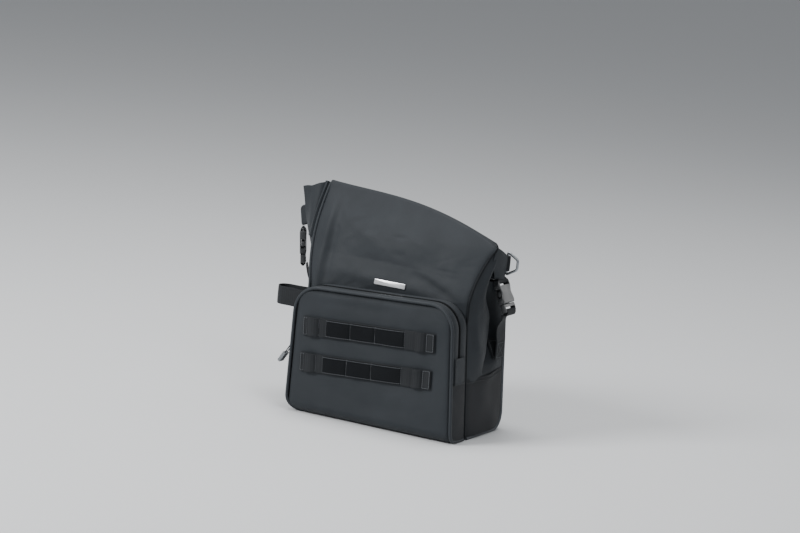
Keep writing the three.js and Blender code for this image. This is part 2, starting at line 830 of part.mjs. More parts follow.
/** Webbing folded round a bar, with its two legs sewn together beyond it. */
function foldedWebbing(barZ, towards, reach) {
  const spread = barHalfThickness + clearance + webbingThickness / 2 + clearance;
  const turn = barZ - towards * (barWidth / 2 + 1.5 * clearance + webbingThickness / 2);
  const squareness = 0.6;
  const sewn = (webbingThickness + clearance) / 2;
  const half = barWidth / 2;
  const stops = [[sewn, reach], [sewn, half + 2 * webbingThickness], [spread, half + clearance], [spread, 0]];
  const leg = stops.map(([x, z]) => [x, barZ + towards * z]);
  const points = leg.map(([x, z]) => [-x, z]);
  for (let i = 1; i < 6; i++) {
    const angle = (Math.PI * i) / 6;
    const x = -spread * Math.sign(Math.cos(angle)) * Math.abs(Math.cos(angle)) ** squareness;
    points.push([x, lerp(barZ, turn, Math.sin(angle) ** squareness)]);
  }
  points.push(...leg.reverse());
  const path = points.map(([x, z]) => vector(x, 0, z));
  const bar = vector(0, 0, barZ);
  const outward = path.map((p) => (
    towards * (p.z - barZ) > 0 ? vector(p.x, 0, 0).normalize() : p.clone().sub(bar).normalize()
  ));
  return ribbon(path, outward, webbingWidth - 2 * clearance);
}

/** The frame of a buckle: top is the housing's top, down runs towards the stem. */
function buckleFrame(top, down, outwards) {
  const up = down.clone().negate().normalize();
  const across = up.clone().cross(outwards).normalize();
  const out = across.clone().cross(up).normalize();
  const group = new THREE.Group();
  group.matrix.makeBasis(out, across, up).setPosition(top.clone().addScaledVector(up, -housingLength));
  group.matrix.decompose(group.position, group.quaternion, group.scale);
  bag.add(group);
  return group;
}

const lowBuckleTilt = degToRad(24);
const tallBuckleTilt = degToRad(-6.2);
const tallBuckleYaw = degToRad(28);
const linkReach = 6; // from the middle of the bar
const linkStand = linkReach - barWidth / 2 + 2 * clearance;
const buckleEnds = {
  low_end: {
    top: vector(rollLowEnd + lowBuckleReach, rollMiddle + lowBuckleSetback, closureTabLow - linkStand),
    down: vector(Math.sin(lowBuckleTilt), 0, -Math.cos(lowBuckleTilt)),
    outwards: vector(1, 0, 0),
  },
  tall_end: {
    top: vector(-rollTallEnd - tallBuckleReach, rollMiddle + tallBuckleSetback, tallTabLow - linkStand),
    down: vector(-Math.sin(tallBuckleTilt), 0, -Math.cos(tallBuckleTilt)),
    outwards: vector(-Math.cos(tallBuckleYaw), -Math.sin(tallBuckleYaw), 0),
  },
};
const strapLegLength = 5.5;
const linkBarZ = housingLength - barWidth / 2;
const strapBarZ = -latchSink - stemLength + barWidth / 2;
for (const [end, { top, down, outwards }] of Object.entries(buckleEnds)) {
  const frame = buckleFrame(top, down, outwards);
  const frontSide = outwards.x > 0 ? -1 : 1;
  buckleEnds[end].frame = frame;
  add(`buckle_link_${end}`, foldedWebbing(linkBarZ, 1, linkReach), webbing, frame);
  add(`buckle_housing_${end}`, housing(), moulding, frame);
  add(`buckle_stem_${end}`, stem(), moulding, frame);
  add(`latch_arm_front_${end}`, latchArm(frontSide), moulding, frame);
  add(`latch_arm_rear_${end}`, latchArm(-frontSide), moulding, frame);
  add(`strap_fold_${end}`, foldedWebbing(strapBarZ, -1, strapLegLength), webbing, frame);
}

// ---------------------------------------------------------------- side straps

/** A point of a buckle's own frame, in the bag's frame. */
function fromBuckle(end, x, z) {
  const { frame } = buckleEnds[end];
  return vector(x, 0, z).applyQuaternion(frame.quaternion).add(frame.position);
}

const strapSide = {
  low_end: -(barHalfThickness + 3 * clearance + 2 * webbingThickness),
  tall_end: -(barHalfThickness + 2 * webbingThickness),
};
const anchorStand = 2 * (webbingThickness + clearance);

/** A side strap leaves its buckle beside the fold. Sag and tuck stand it out from a straight line. */
function sideStrap(end, side, anchor, sag, tuck) {
  const { outwards } = buckleEnds[end];
  const high = fromBuckle(end, strapSide[end], strapBarZ - strapLegLength / 2 - webbingThickness);
  const low = shift(anchor, side * anchorStand, 0, webbingWidth / 2);
  const middle = [0.3, 0.6, 0.85].map((share) => {
    const bow = sag * Math.sin(Math.PI * share) - tuck * Math.sin(2 * Math.PI * share);
    return shift(high.clone().lerp(low, share), side * bow, 0, 0);
  });
  const chosen = [
    fromBuckle(end, strapSide[end], strapBarZ - barWidth),
    high,
    ...middle,
    low,
    shift(low, 0, 0, -webbingWidth),
  ];
  const points = smoothPath(chosen, 22);
  const flat = vector(side, 0, 0);
  const outward = points.map((_, i) => outwards.clone().lerp(flat, smoothstep(i, 5, 17)));
  return ribbon(points, outward, webbingWidth - 2 * clearance);
}

/** The webbing patch on a gusset that the side strap is sewn to. It sinks with the cloth below it. */
function strapAnchor(side, anchor) {
  const half = webbingWidth / 2;
  const outer = (across, up) => {
    const z = lerp(anchor.z - half, anchor.z + half, up);
    const around = lerp(anchorAround - anchorAhead, anchorAround + anchorBehind, across);
    const point = gussetPoint(side, around, z);
    const stand = lerp(anchor.x - point.x, 0, anchorFollow);
    point.x += stand + side * (webbingThickness + clearance);
    return point;
  };
  const inner = (across, up) => shift(outer(across, up), -side * webbingThickness, 0, 0);
  return slab(outer, inner, 6, 3);
}

/** Where a gusset stands furthest out over the height of a strap's anchor. */
function anchorPoint(side, around, z) {
  const heights = [-1, -0.5, 0, 0.5, 1].map((k) => z + (k * webbingWidth) / 2);
  const rims = [around - 0.14, around, around + 0.1];
  const reaches = heights.flatMap((h) => rims.map((r) => side * gussetPoint(side, r, h).x));
  return vector(side * (Math.max(...reaches) + clearance), gussetPoint(side, around, z).y, z);
}

const lowAnchor = anchorPoint(1, anchorAround, lowAnchorHeight);
const tallAnchor = anchorPoint(-1, anchorAround, tallAnchorHeight);
add('side_strap_low_end', sideStrap('low_end', 1, lowAnchor, lowStrapSag, lowStrapTuck), webbing);
add('side_strap_tall_end', sideStrap('tall_end', -1, tallAnchor, tallStrapSag, tallStrapTuck), webbing);
add('strap_anchor_low_end', strapAnchor(1, lowAnchor), webbing);
add('strap_anchor_tall_end', strapAnchor(-1, tallAnchor), webbing);

// ---------------------------------------------------------------- pocket

const pocketCorners = [
  new THREE.Vector2(-baseHalfWidth, pocketBottom),
  new THREE.Vector2(baseHalfWidth, pocketBottom),
  new THREE.Vector2(pocketLowReach, pocketLowHeight),
  new THREE.Vector2(-baseHalfWidth, pocketTallHeight),
];
const pocketRadii = [pocketTallFootRadius, pocketLowFootRadius, pocketTopRadius, pocketTopRadius];
const pocketOutline = (inset) => roundedPolygon(pocketCorners, pocketRadii, inset);

const tall = ridgeTallHeight;
const below = -panelThickness; // lower than anything
const curlCentreY = pocketFront + pocketFootCurl;
const pipingCentreY = pocketFront + pipingRadius - pipingInset + 0.5;
const ringFront = pipingCentreY + pipingRadius + clearance;
const zipFront = pocketFront + zipSetback - zipGap / 2;
const zipBack = pocketFront + zipSetback + zipGap / 2;

/** All that lies further back than the pocket's front by inset, and above a floor behind its foot. */
function behindFront(inset, floor) {
  const radius = pocketFootCurl - inset;
  const arc = Array.from({ length: 9 }, (_, i) => {
    const angle = (Math.PI / 2) * (i / 8);
    return [curlCentreY - radius * Math.cos(angle), pocketFootCurl - radius * Math.sin(angle)];
  });
  const foot = [[curlCentreY, floor], [bodyDepth, floor]];
  const outline = [[bodyDepth, tall], [pocketFront + inset, tall], ...arc, ...foot];
  const points = outline.map(([y, z]) => new THREE.Vector2(y, z));
  return toManifold(extrudeAlongX(points, tall));
}

/** The pocket's front, which wraps under the pocket between the two ends of its piping. */
function pocketFrontPanel() {
  const tallFoot = -baseHalfWidth + pocketTallFootRadius + pipingRadius + clearance;
  const lowFoot = baseHalfWidth - seamTrim - 2 * clearance;
  const foot = block([tallFoot, pocketFront, 0], [lowFoot, pocketBack, pocketBottom + seamTrim + 1]);
  const whole = join(extrudeAlongY(pocketOutline(seamTrim), pocketFront, pocketBack), foot);
  const skin = behindFront(0, 0).subtract(behindFront(panelThickness, panelThickness));
  return fromManifold(toManifold(whole).intersect(skin));
}

/** Y of the middle of the piping at a height, which follows the curl of the foot. */
function pipingY(z) {
  const radius = curlCentreY - pipingCentreY;
  if (z >= pocketFootCurl) return pipingCentreY;
  return curlCentreY - Math.sqrt(Math.max(radius ** 2 - (pocketFootCurl - z) ** 2, 0));
}

const footZ = pipingRadius;
const pocketSideX = (z) => {
  const share = (z - pocketBottom) / (pocketLowHeight - pocketBottom);
  return lerp(baseHalfWidth, pocketLowReach, share) - pipingInset;
};

/** Piping from the pocket's low end down round its foot, to meet the piping along the base. */
function lowFootPiping() {
  const points = [pocketFoldHeight + pipingRadius, pocketFootCurl + pipingRadius].map((z) => (
    vector(pocketSideX(z), pipingCentreY, z)
  ));
  for (let i = 0; i <= 8; i++) {
    const z = lerp(pocketFootCurl, footZ, Math.sin((Math.PI / 2) * (i / 8)));
    points.push(vector(pocketSideX(z), pipingY(z), z));
  }
  points.push(vector(pocketSideX(footZ), curlCentreY, footZ));
  points.push(vector(pocketSideX(footZ), innerFront + 2 * pipingRadius - clearance, footZ));
  return tube(points, vector(1, 0, 0), pipingRadius);
}

/** Piping from the pocket's tall end round its lower corner, to run back under the pocket. */
function tallFootPiping() {
  const radius = pocketTallFootRadius - pipingInset;
  const centreX = -baseHalfWidth + pocketTallFootRadius;
  const centreZ = pocketBottom + pocketTallFootRadius;
  const points = [vector(centreX - radius, pipingCentreY, pocketFoldHeight + pipingRadius)];
  for (let i = 0; i <= 10; i++) {
    const angle = degToRad(75) * (i / 10);
    const z = centreZ - radius * Math.sin(angle);
    points.push(vector(centreX - radius * Math.cos(angle), pipingY(z), z));
  }
  points.push(vector(centreX - clearance * 4, curlCentreY - pipingRadius - 1, footZ));
  points.push(vector(centreX, curlCentreY + 1, footZ));
  points.push(vector(centreX, pocketBack - clearance, footZ));
  return tube(points, vector(1, -1, 0).normalize(), pipingRadius);
}

function pocketRing(fromY, toY, outset = 0, wall = pocketWall) {
  return extrudeAlongY(pocketOutline(-outset), fromY, toY, pocketOutline(wall - outset));
}

/** The pocket's side at one end, below the end of the zip. */
function pocketSide(from, to) {
  const ring = toManifold(pocketRing(ringFront, pocketBack));
  const curled = ring.intersect(behindFront(ringFront - pocketFront, below));
  return fromManifold(curled.intersect(toManifold(block(from, to))));
}

const pipingLoop = tube(
  pocketOutline(pipingInset).map((p) => vector(p.x, pipingCentreY, p.y)),
  vector(0, 1, 0),
  pipingRadius,
  8,
  true,
);
const belowFold = pocketFoldHeight - clearance / 2;
const aboveFold = pocketFoldHeight + clearance / 2;
add('pocket_front_lower', between(pocketFrontPanel(), below, belowFold), shellFabric);
add('pocket_front_upper', between(pocketFrontPanel(), aboveFold, tall), shellFabric);
add('pocket_piping_tall_end', between(tallFootPiping(), below, belowFold), pipingFabric);
add('pocket_piping_low_end', between(lowFootPiping(), below, belowFold), pipingFabric);
add('pocket_piping_upper', between(pipingLoop, aboveFold, tall), pipingFabric);

const belowZipEnd = zipEndHeight - clearance / 2;
const aboveZipEnd = zipEndHeight + clearance / 2;
const sideBottom = 2 * pipingRadius + clearance;
const tallFootEnd = -baseHalfWidth + pocketTallFootRadius - pipingRadius - clearance;
const tallSide = pocketSide([-tall, -tall, below], [tallFootEnd, tall, belowZipEnd]);
const lowSide = pocketSide([0, -tall, sideBottom], [tall, tall, belowZipEnd]);
add('pocket_gusset_tall_end', tallSide, shellFabric);
add('pocket_gusset_low_end', lowSide, shellFabric);
add('zip_tape_front', between(pocketRing(ringFront, zipFront - clearance), aboveZipEnd, tall), zipTape);
add('zip_tape_rear', between(pocketRing(zipBack + clearance, pocketBack), aboveZipEnd, tall), zipTape);
const chainRing = pocketRing(zipFront, zipBack, zipChainRise, zipChainRise + 1);
add('zip_chain', between(chainRing, aboveZipEnd, tall), moulding);

// ---------------------------------------------------------------- zip slider and puller

const gussetFace = -baseHalfWidth;
const sliderInside = gussetFace - clearance;
const sliderOutside = sliderInside - sliderThickness;
const zipY = pocketFront + zipSetback;
const lugReach = 4;
const holeX = sliderOutside - lugReach / 2;

function slider() {
  const body = block(
    [sliderOutside, zipY - sliderWidth / 2, sliderHeight - sliderLength / 2],
    [sliderInside, zipY + sliderWidth / 2, sliderHeight + sliderLength / 2],
  );
  const channel = block(
    [gussetFace - zipChainRise - clearance, zipY - zipGap / 2 - clearance, 0],
    [0, zipY + zipGap / 2 + clearance, tall],
  );
  const lug = block(
    [sliderOutside - lugReach, zipY - lugThickness / 2, sliderHeight - lugReach],
    [sliderOutside + 1, zipY + lugThickness / 2, sliderHeight + lugReach],
  );
  const hole = new THREE.CylinderGeometry(cordRadius + clearance, cordRadius + clearance, sliderWidth, 16);
  return cut(join(cut(body, channel), lug), hole.translate(holeX, zipY, sliderHeight));
}
add('zip_slider', slider(), gunmetal);

const puller = new THREE.Group();
puller.position.set(holeX, zipY, sliderHeight);
puller.rotation.y = degToRad(pullerTilt);
bag.add(puller);

function pullCord() {
  const bend = cordSpread - lugThickness / 2;
  const points = [vector(0, -cordSpread, -cordLength), vector(0, -cordSpread, -bend)];
  for (let i = 1; i < 5; i++) {
    const angle = ((Math.PI / 2) * i) / 5;
    points.push(vector(0, -cordSpread + bend * (1 - Math.cos(angle)), -bend + bend * Math.sin(angle)));
  }
  const mirrored = points.map((p) => vector(0, -p.y, p.z)).reverse();
  return tube([...points, ...mirrored], vector(1, 0, 0), cordRadius);
}

/** A ribbed moulded tab on the end of the cord. */
function pullTab() {
  const half = pullTabThickness / 2;
  const ribDepth = 0.6;
  const outline = [];
  for (const face of [1, -1]) {
    for (let i = 0; i < pullTabRibs; i++) {
      const t = face > 0 ? i : pullTabRibs - 1 - i;
      const z0 = -pullTabLength * (t / pullTabRibs);
      const z1 = -pullTabLength * ((t + 1) / pullTabRibs);
      const groove = lerp(z0, z1, 0.5);
      const pair = face > 0 ? [[half, z0], [half, groove], [half - ribDepth, groove], [half - ribDepth, z1]]
        : [[-half + ribDepth, z1], [-half + ribDepth, groove], [-half, groove], [-half, z0]];
      outline.push(...pair);
    }
  }
  const points = outline.map(([x, z]) => new THREE.Vector2(x, z));
  const geometry = extrudeAlongY(points.reverse(), -pullTabWidth / 2, pullTabWidth / 2);
  return geometry.translate(0, 0, -cordLength - clearance);
}
add('pull_cord', pullCord(), cord, puller);
add('pull_tab', pullTab(), rubber, puller);

// ---------------------------------------------------------------- webbing rows and hook patches

const rowFace = pocketFront - clearance - webbingThickness / 2;
const rowSlope = Math.atan2(rowRise, rowLength);

/** A point on a row: along from its tall end, lift away from the pocket. */
function rowPoint(height, along, lift) {
  return vector(
    -baseHalfWidth + rowStart + along * Math.cos(rowSlope),
    rowFace - lift,
    height + along * Math.sin(rowSlope),
  );
}

function webbingRow(height) {
  const points = [];
  rowStitches.slice(0, -1).forEach((start, cell) => {
    const end = rowStitches[cell + 1];
    const steps = liftedCells.includes(cell) ? 6 : 1;
    for (let i = 0; i < steps; i++) {
      const lift = steps > 1 ? cellLift * Math.sin((Math.PI * i) / steps) ** 0.5 : 0;
      points.push(rowPoint(height, lerp(start, end, i / steps), lift));
    }
  });
  points.push(rowPoint(height, rowLength, 0));
  return ribbon(points, vector(0, -1, 0), webbingWidth);
}

/** A strip of hook fabric over the row's middle cells, pinched at each stitch line. */
function hookPatch(height) {
  const stops = [];
  const pinch = 2;
  for (let cell = patchFirstStitch; cell < patchLastStitch; cell++) {
    stops.push([rowStitches[cell] + clearance, 0.4], [rowStitches[cell] + pinch, 1]);
    stops.push([rowStitches[cell + 1] - pinch, 1]);
  }
  stops.push([rowStitches[patchLastStitch] - clearance, 0.4]);
  const inside = webbingThickness / 2 + clearance;
  const surface = (raised) => (u, v) => {
    const [along, full] = stops[Math.round(u * (stops.length - 1))];
    const point = rowPoint(height, along, inside + (raised ? patchThickness * full : 0));
    const offset = lerp(-patchWidth / 2, patchWidth / 2, v);
    return shift(point, -offset * Math.sin(rowSlope), 0, offset * Math.cos(rowSlope));
  };
  return slab(surface(true), surface(false), stops.length - 1, 1);
}

for (const [name, height] of Object.entries(rowTallHeights)) {
  add(`webbing_row_${name}`, webbingRow(height), webbing);
  add(`hook_patch_${name}`, hookPatch(height), hookFabric);
}

// ---------------------------------------------------------------- name plate

const plateUp = (plateCentreHeight - taperHeight) / (ridgeHeight(plateCentreAcross) - taperHeight);
const plateSpot = frontPoint(plateCentreAcross, plateUp);
const plateAbove = frontPoint(plateCentreAcross, plateUp + plateHeight / ridgeLowHeight);
const plateLean = Math.atan2(plateAbove.y - plateSpot.y, plateAbove.z - plateSpot.z);
const plateShape = new THREE.BoxGeometry(plateLength, plateThickness, plateHeight);
const plateMesh = add('name_plate', plateShape, brushedSteel);
plateMesh.position.copy(shift(plateSpot, 0, -(plateThickness / 2 + clearance) / Math.cos(plateLean), 0));
plateMesh.rotation.x = -plateLean;

// ---------------------------------------------------------------- mounting loops

/** A webbing loop that stands out of the tall end's gusset. */
function mountLoop() {
  const loopTop = mountLoopHeight + webbingWidth / 2;
  const inside = gussetPoint(-1, 0.3, loopTop).x - clearance;
  const front = mountLoopFront;
  const centreX = inside - mountLoopReach + mountLoopRadius;
  const centreY = front + mountLoopRadius;
  const points = [vector(inside, front, mountLoopHeight)];
  for (let i = 0; i <= 10; i++) {
    const angle = (Math.PI * i) / 10;
    const x = centreX - mountLoopRadius * Math.sin(angle);
    points.push(vector(x, centreY - mountLoopRadius * Math.cos(angle), mountLoopHeight));
  }
  points.push(vector(inside, front + 2 * mountLoopRadius, mountLoopHeight));
  const outward = points.map((p) => vector(Math.min(p.x - centreX, 0), p.y - centreY, 0).normalize());
  return ribbon(points, outward, webbingWidth);
}
add('mount_loop', mountLoop(), webbing);

function backLoop(x) {
  const face = bodyDepth + clearance + webbingThickness / 2;
  const cells = 2;
  const steps = 6;
  const points = Array.from({ length: cells * steps + 1 }, (_, i) => {
    const lift = cellLift * Math.abs(Math.sin((Math.PI * i) / steps)) ** 0.5;
    return vector(x, face + lift, lerp(backLoopBottom, backLoopTop, i / (cells * steps)));
  });
  return ribbon(points, vector(0, 1, 0), webbingWidth);
}
add('back_loop_tall_end', backLoop(-backLoopOffset), webbing);
add('back_loop_low_end', backLoop(backLoopOffset), webbing);

export default bag;
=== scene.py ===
import math
import random
import bpy
import bmesh
from mathutils import Matrix, Vector, noise


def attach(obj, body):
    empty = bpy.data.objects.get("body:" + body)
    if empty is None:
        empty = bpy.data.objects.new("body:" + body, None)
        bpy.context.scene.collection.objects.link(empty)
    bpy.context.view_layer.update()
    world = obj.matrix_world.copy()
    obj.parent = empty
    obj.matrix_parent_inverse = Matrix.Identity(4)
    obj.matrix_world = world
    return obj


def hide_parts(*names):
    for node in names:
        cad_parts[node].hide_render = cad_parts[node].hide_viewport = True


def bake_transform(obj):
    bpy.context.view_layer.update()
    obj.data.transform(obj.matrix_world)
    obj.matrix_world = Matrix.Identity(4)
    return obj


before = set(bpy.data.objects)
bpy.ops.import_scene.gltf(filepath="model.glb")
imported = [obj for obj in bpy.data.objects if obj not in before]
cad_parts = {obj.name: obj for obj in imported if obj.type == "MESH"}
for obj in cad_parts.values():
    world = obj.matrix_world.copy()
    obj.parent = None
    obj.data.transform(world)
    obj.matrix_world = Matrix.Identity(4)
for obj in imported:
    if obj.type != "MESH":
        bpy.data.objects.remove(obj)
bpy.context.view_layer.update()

bpy.ops.object.select_all(action="DESELECT")

# ---------------------------------------------------------------- camera
# A long lens, a little above the bag and off its low end. The bag hung tipped by six and a half
# degrees when it was photographed, so the camera is rolled instead and the bag stands upright.
azimuth, elevation, tip = math.radians(28.5), math.radians(9.83), math.radians(6.4628)
distance, focal_pixels = 4.0386, 3045.4
frame_width, frame_height = 800, 533
aim, aim_pixel = Vector((0, -0.035, 0)), (380.34, 422.79)
flat_reach = math.cos(elevation)
away = Vector((math.sin(azimuth) * flat_reach, -math.cos(azimuth) * flat_reach, math.sin(elevation)))
level = (-away).cross(Vector((0, 0, 1))).normalized()
rise = level.cross(-away)
untip = Matrix(((math.cos(tip), 0, -math.sin(tip)), (0, 1, 0), (math.sin(tip), 0, math.cos(tip))))
right_of_aim = (frame_width / 2 - aim_pixel[0]) / focal_pixels
above_aim = (aim_pixel[1] - frame_height / 2) / focal_pixels
look = (untip @ (-away + level * right_of_aim + rise * above_aim)).normalized()
side = look.cross(untip @ rise).normalized()
bpy.ops.object.camera_add(location=untip @ (away * distance) + aim)
camera = bpy.context.object
camera.rotation_euler = Matrix((side, side.cross(look), -look)).transposed().to_euler()
camera.data.sensor_width = 36
camera.data.lens = camera.data.sensor_width * focal_pixels / frame_width
camera.data.clip_end = 300
bpy.context.scene.camera = camera

# ---------------------------------------------------------------- floor and light
# A plain pale floor that runs past the frame, and four soft lamps, as over a workbench: one overhead,
# a strong one in front, and two weaker ones off the bag's low end.
lit_point = Vector((0, 0, 0.15))


def new_finish(name, values):
    """A material, its node tree and its shader, with some of the shader's sockets set."""
    finish = bpy.data.materials.new(name)
    finish.use_nodes = True
    shader = finish.node_tree.nodes["Principled BSDF"]
    for socket, value in values.items():
        shader.inputs[socket].default_value = value
    return finish, finish.node_tree, shader


def soft_light(name, place, size, watts):
    bpy.ops.object.light_add(type="AREA", location=place)
    light = bpy.context.object
    light.name = name
    light.data.size = size
    light.data.energy = watts
    light.rotation_euler = (lit_point - Vector(place)).to_track_quat("-Z", "Y").to_euler()


bpy.ops.mesh.primitive_plane_add(size=160)
floor = bpy.context.object
floor.name = "studio_floor"
floor_paint = new_finish(
    "pale_floor", {"Base Color": (0.72, 0.73, 0.74, 1), "Roughness": 0.8, "Specular IOR Level": 0.2}
)[0]
floor.data.materials.append(floor_paint)
soft_light("overhead", (-0.2, 0.1, 2.4), 1.3, 42)
soft_light("front_key", (-1.5, -2.3, 1.9), 1.0, 92)
soft_light("low_end_rim", (1.25, 2.4, 0.8), 0.9, 6)
soft_light("low_end_fill", (2.1, -1.6, 2.3), 1.0, 20)
world = bpy.context.scene.world or bpy.data.worlds.new("studio_air")
bpy.context.scene.world = world
world.use_nodes = True
world.node_tree.nodes["Background"].inputs["Color"].default_value = (0.93, 0.96, 1.0, 1)
world.node_tree.nodes["Background"].inputs["Strength"].default_value = 0.3

# ---------------------------------------------------------------- walls of the compartment
# The walls are cut from coated polyester, a dark charcoal plain weave that is lined and stiffened
# with foam. They're sewn into piping all round, so each wall dips at its seams and bellies between.


def feed(tree, node, sources):
    """Sets some inputs of a node, each to a plain value or to another node's output."""
    for socket, source in sources.items():
        if isinstance(source, bpy.types.NodeSocket):
            tree.links.new(source, node.inputs[socket])
        else:
            node.inputs[socket].default_value = source


def add_node(tree, kind, sources, **settings):
    """Adds a shader node, sets it up and feeds it."""
    node = tree.nodes.new("ShaderNode" + kind)
    for key, value in settings.items():
        setattr(node, key, value)
    feed(tree, node, sources)
    return node


def maths(tree, operation, *values):
    """The output of a maths node."""
    return add_node(tree, "Math", dict(enumerate(values)), operation=operation).outputs[0]


def remap(tree, value, from_range=(0, 1), to_range=(0, 1)):
    """The output of a node that maps one range of values to another."""
    limits = dict(zip(("From Min", "From Max", "To Min", "To Max"), (*from_range, *to_range)))
    return add_node(tree, "MapRange", {"Value": value, **limits}).outputs["Result"]


def speckle(tree, scale, detail=2, over="Object"):
    """The output of a noise texture."""
    where = add_node(tree, "TexCoord", {}).outputs[over]
    return add_node(tree, "TexNoise", {"Vector": where, "Scale": scale, "Detail": detail}).outputs["Fac"]


def relief(tree, height, strength, distance):
    """The output of a bump node."""
    values = {"Strength": strength, "Distance": distance, "Height": height}
    return add_node(tree, "Bump", values).outputs["Normal"]


def mixed_colour(tree, share, first, second):
    """The output of a node that mixes two colours."""
    mixer = add_node(tree, "Mix", {}, data_type="RGBA")
    colours = [c if isinstance(c, bpy.types.NodeSocket) else (*c, 1) for c in (first, second)]
    feed(tree, mixer, {"Factor": share, "A": colours[0], "B": colours[1]})
    return mixer.outputs["Result"]


def use_group(tree, group, values):
    """Adds a node that stands for a group."""
    node = add_node(tree, "Group", {}, node_tree=group)
    feed(tree, node, values)
    return node.outputs


def new_group(name, inputs, outputs):
    """An empty node group with its sockets, and its entry and leaving nodes."""
    group = bpy.data.node_groups.new(name, "ShaderNodeTree")
    for socket, value in inputs.items():
        made = group.interface.new_socket(socket, in_out="INPUT", socket_type="NodeSocketFloat")
        made.default_value = value
    for socket in outputs:
        group.interface.new_socket(socket, in_out="OUTPUT", socket_type="NodeSocketFloat")
    return group, group.nodes.new("NodeGroupInput").outputs, group.nodes.new("NodeGroupOutput")


def thread_waves(group, pitch, counts):
    """Two waves over a UV map in metres, along X and Y, each with its count to a pitch."""
    split = add_node(group, "SeparateXYZ", {0: add_node(group, "TexCoord", {}).outputs["UV"]})
    waves = []
    for axis, count in zip("XY", counts):
        pitches = maths(group, "DIVIDE", split.outputs[axis], pitch)
        waves.append(maths(group, "SINE", maths(group, "MULTIPLY", pitches, 2 * math.pi * count)))
    return waves


def woven_threads():
    """Plain weave over a UV map in metres: a height, and a mask of the threads that lie on top, used as
    painted shade that is dark between the threads and pale on top of them.
    """
    values = {"Pitch": 0.0009, "Unevenness": 0.5}
    group, entry, leave = new_group("woven_threads", values, ("Height", "Painted_shade_and_unevenness"))
    warp, weft = thread_waves(group, entry["Pitch"], (1, 1))
    uneven = maths(group, "MULTIPLY", speckle(group, 1400, detail=1, over="UV"), entry["Unevenness"])
    height = maths(group, "MULTIPLY_ADD", maths(group, "MULTIPLY", warp, weft), 0.5, uneven)
    feed(group, leave, {"Height": height, "Painted_shade_and_unevenness": remap(group, height, (-0.5, 1))})
    return group


def rubbed_patches():
    """Broad, soft patches where cloth is a little paler from handling and dust."""
    group, entry, leave = new_group("rubbed_patches", {"Size": 9}, ("Mask",))
    where = add_node(group, "TexCoord", {}).outputs["Object"]
    cloud = add_node(group, "TexNoise", {
        "Vector": where, "Scale": entry["Size"], "Detail": 5, "Roughness": 0.62,
    })
    feed(group, leave, {"Mask": remap(group, cloud.outputs["Fac"], (0.36, 0.68))})
    return group


threads_group = woven_threads()
patches_group = rubbed_patches()


def cloth_finish(name, dark, pale, pitch, roughness, bump, sheen=0.04, patch_share=0.16, shine=0.26,
                 threads=threads_group):
    """A woven finish, with painted shade between the threads and a painted highlight on top of them, and
    paler where hands have rubbed it.
    """
    finish, tree, shader = new_finish(
        name, {"Sheen Weight": sheen, "Sheen Roughness": 0.5, "Specular IOR Level": shine}
    )
    weave = use_group(tree, threads, {"Pitch": pitch})
    rubbed = use_group(tree, patches_group, {})["Mask"]
    rubbed_share = maths(tree, "MULTIPLY", rubbed, patch_share)
    # Painted shade and highlight: the weave's tone is dark where its threads lie low and pale where they lie
    # on top.
    colour = mixed_colour(tree, weave["Painted_shade_and_unevenness"], dark, pale)
    feed(tree, shader, {
        "Base Color": mixed_colour(tree, rubbed_share, colour, [1.35 * c for c in pale]),
        "Roughness": remap(tree, rubbed, to_range=(roughness + 0.06, roughness - 0.06)),
        "Normal": relief(tree, weave["Height"], bump, 0.0003),
    })
    return finish


wall_cloth = cloth_finish(
    "charcoal_coated_cloth", (0.0122, 0.0148, 0.0178), (0.0250, 0.0299, 0.0355), 0.0011, 0.6, 0.35,
    patch_share=0.24,
)
band_cloth = cloth_finish(
    "charcoal_band_cloth", (0.0044, 0.0053, 0.0070), (0.0094, 0.0110, 0.0142), 0.0016, 0.64, 0.5
)


def pick(piece):
    """Selects one piece alone."""
    bpy.ops.object.select_all(action="DESELECT")
    piece.select_set(True)
    bpy.context.view_layer.objects.active = piece


def modify(piece, kind, **settings):
    """Adds one modifier, sets it up and applies it."""
    pick(piece)
    modifier = piece.modifiers.new(kind.lower(), kind)
    for key, value in settings.items():
        setattr(modifier, key, value)
    bpy.ops.object.modifier_apply(modifier=modifier.name)


def round_edges(piece, width, angle, segments=2):
    """Rounds the edges that turn by more than an angle, in degrees."""
    modify(piece, "BEVEL", width=width, segments=segments, limit_method="ANGLE",
           angle_limit=math.radians(angle))


def lay_cloth(name, grid, place, size, thickness, side, edge=0.0, angle=60):
    """A sheet of cloth, laid over place(across, up) in a grid of columns and rows.

    Its UV map is in metres of cloth. The thickness goes inwards for side -1, both ways for 0 and
    outwards for 1, by the way the grid faces. Edge rounds the rim.
    """
    bpy.ops.mesh.primitive_grid_add(x_subdivisions=grid[0], y_subdivisions=grid[1], size=1)
    piece = bpy.context.object
    piece.name = piece.data.name = name
    for corner in piece.data.uv_layers.active.data:
        corner.uv = (corner.uv[0] * size[0], corner.uv[1] * size[1])
    for vertex in piece.data.vertices:
        vertex.co = place(vertex.co.x + 0.5, vertex.co.y + 0.5)
    modify(piece, "SOLIDIFY", thickness=thickness, offset=side)
    if edge:
        round_edges(piece, edge, angle)
    return piece


def new_piece(name, shape):
    """Puts a mesh, a curve or a bmesh into the scene as a piece."""
    if isinstance(shape, bmesh.types.BMesh):
        build, shape = shape, bpy.data.meshes.new(name)
        bmesh.ops.recalc_face_normals(build, faces=build.faces)
        build.to_mesh(shape)
        build.free()
    piece = bpy.data.objects.new(name, shape)
    bpy.context.collection.objects.link(piece)
    return piece


def face_out():
    """Edit mode: turns all faces outwards on a closed piece."""
    bpy.ops.mesh.normals_make_consistent(inside=False)


def join_doubles():
    """Edit mode: joins points that lie on one another."""
    bpy.ops.mesh.remove_doubles(threshold=0.00002)


def unwrap():
    """Edit mode: lays a UV map in metres over a piece from its six sides."""
    bpy.ops.uv.cube_project(cube_size=1, correct_aspect=False)


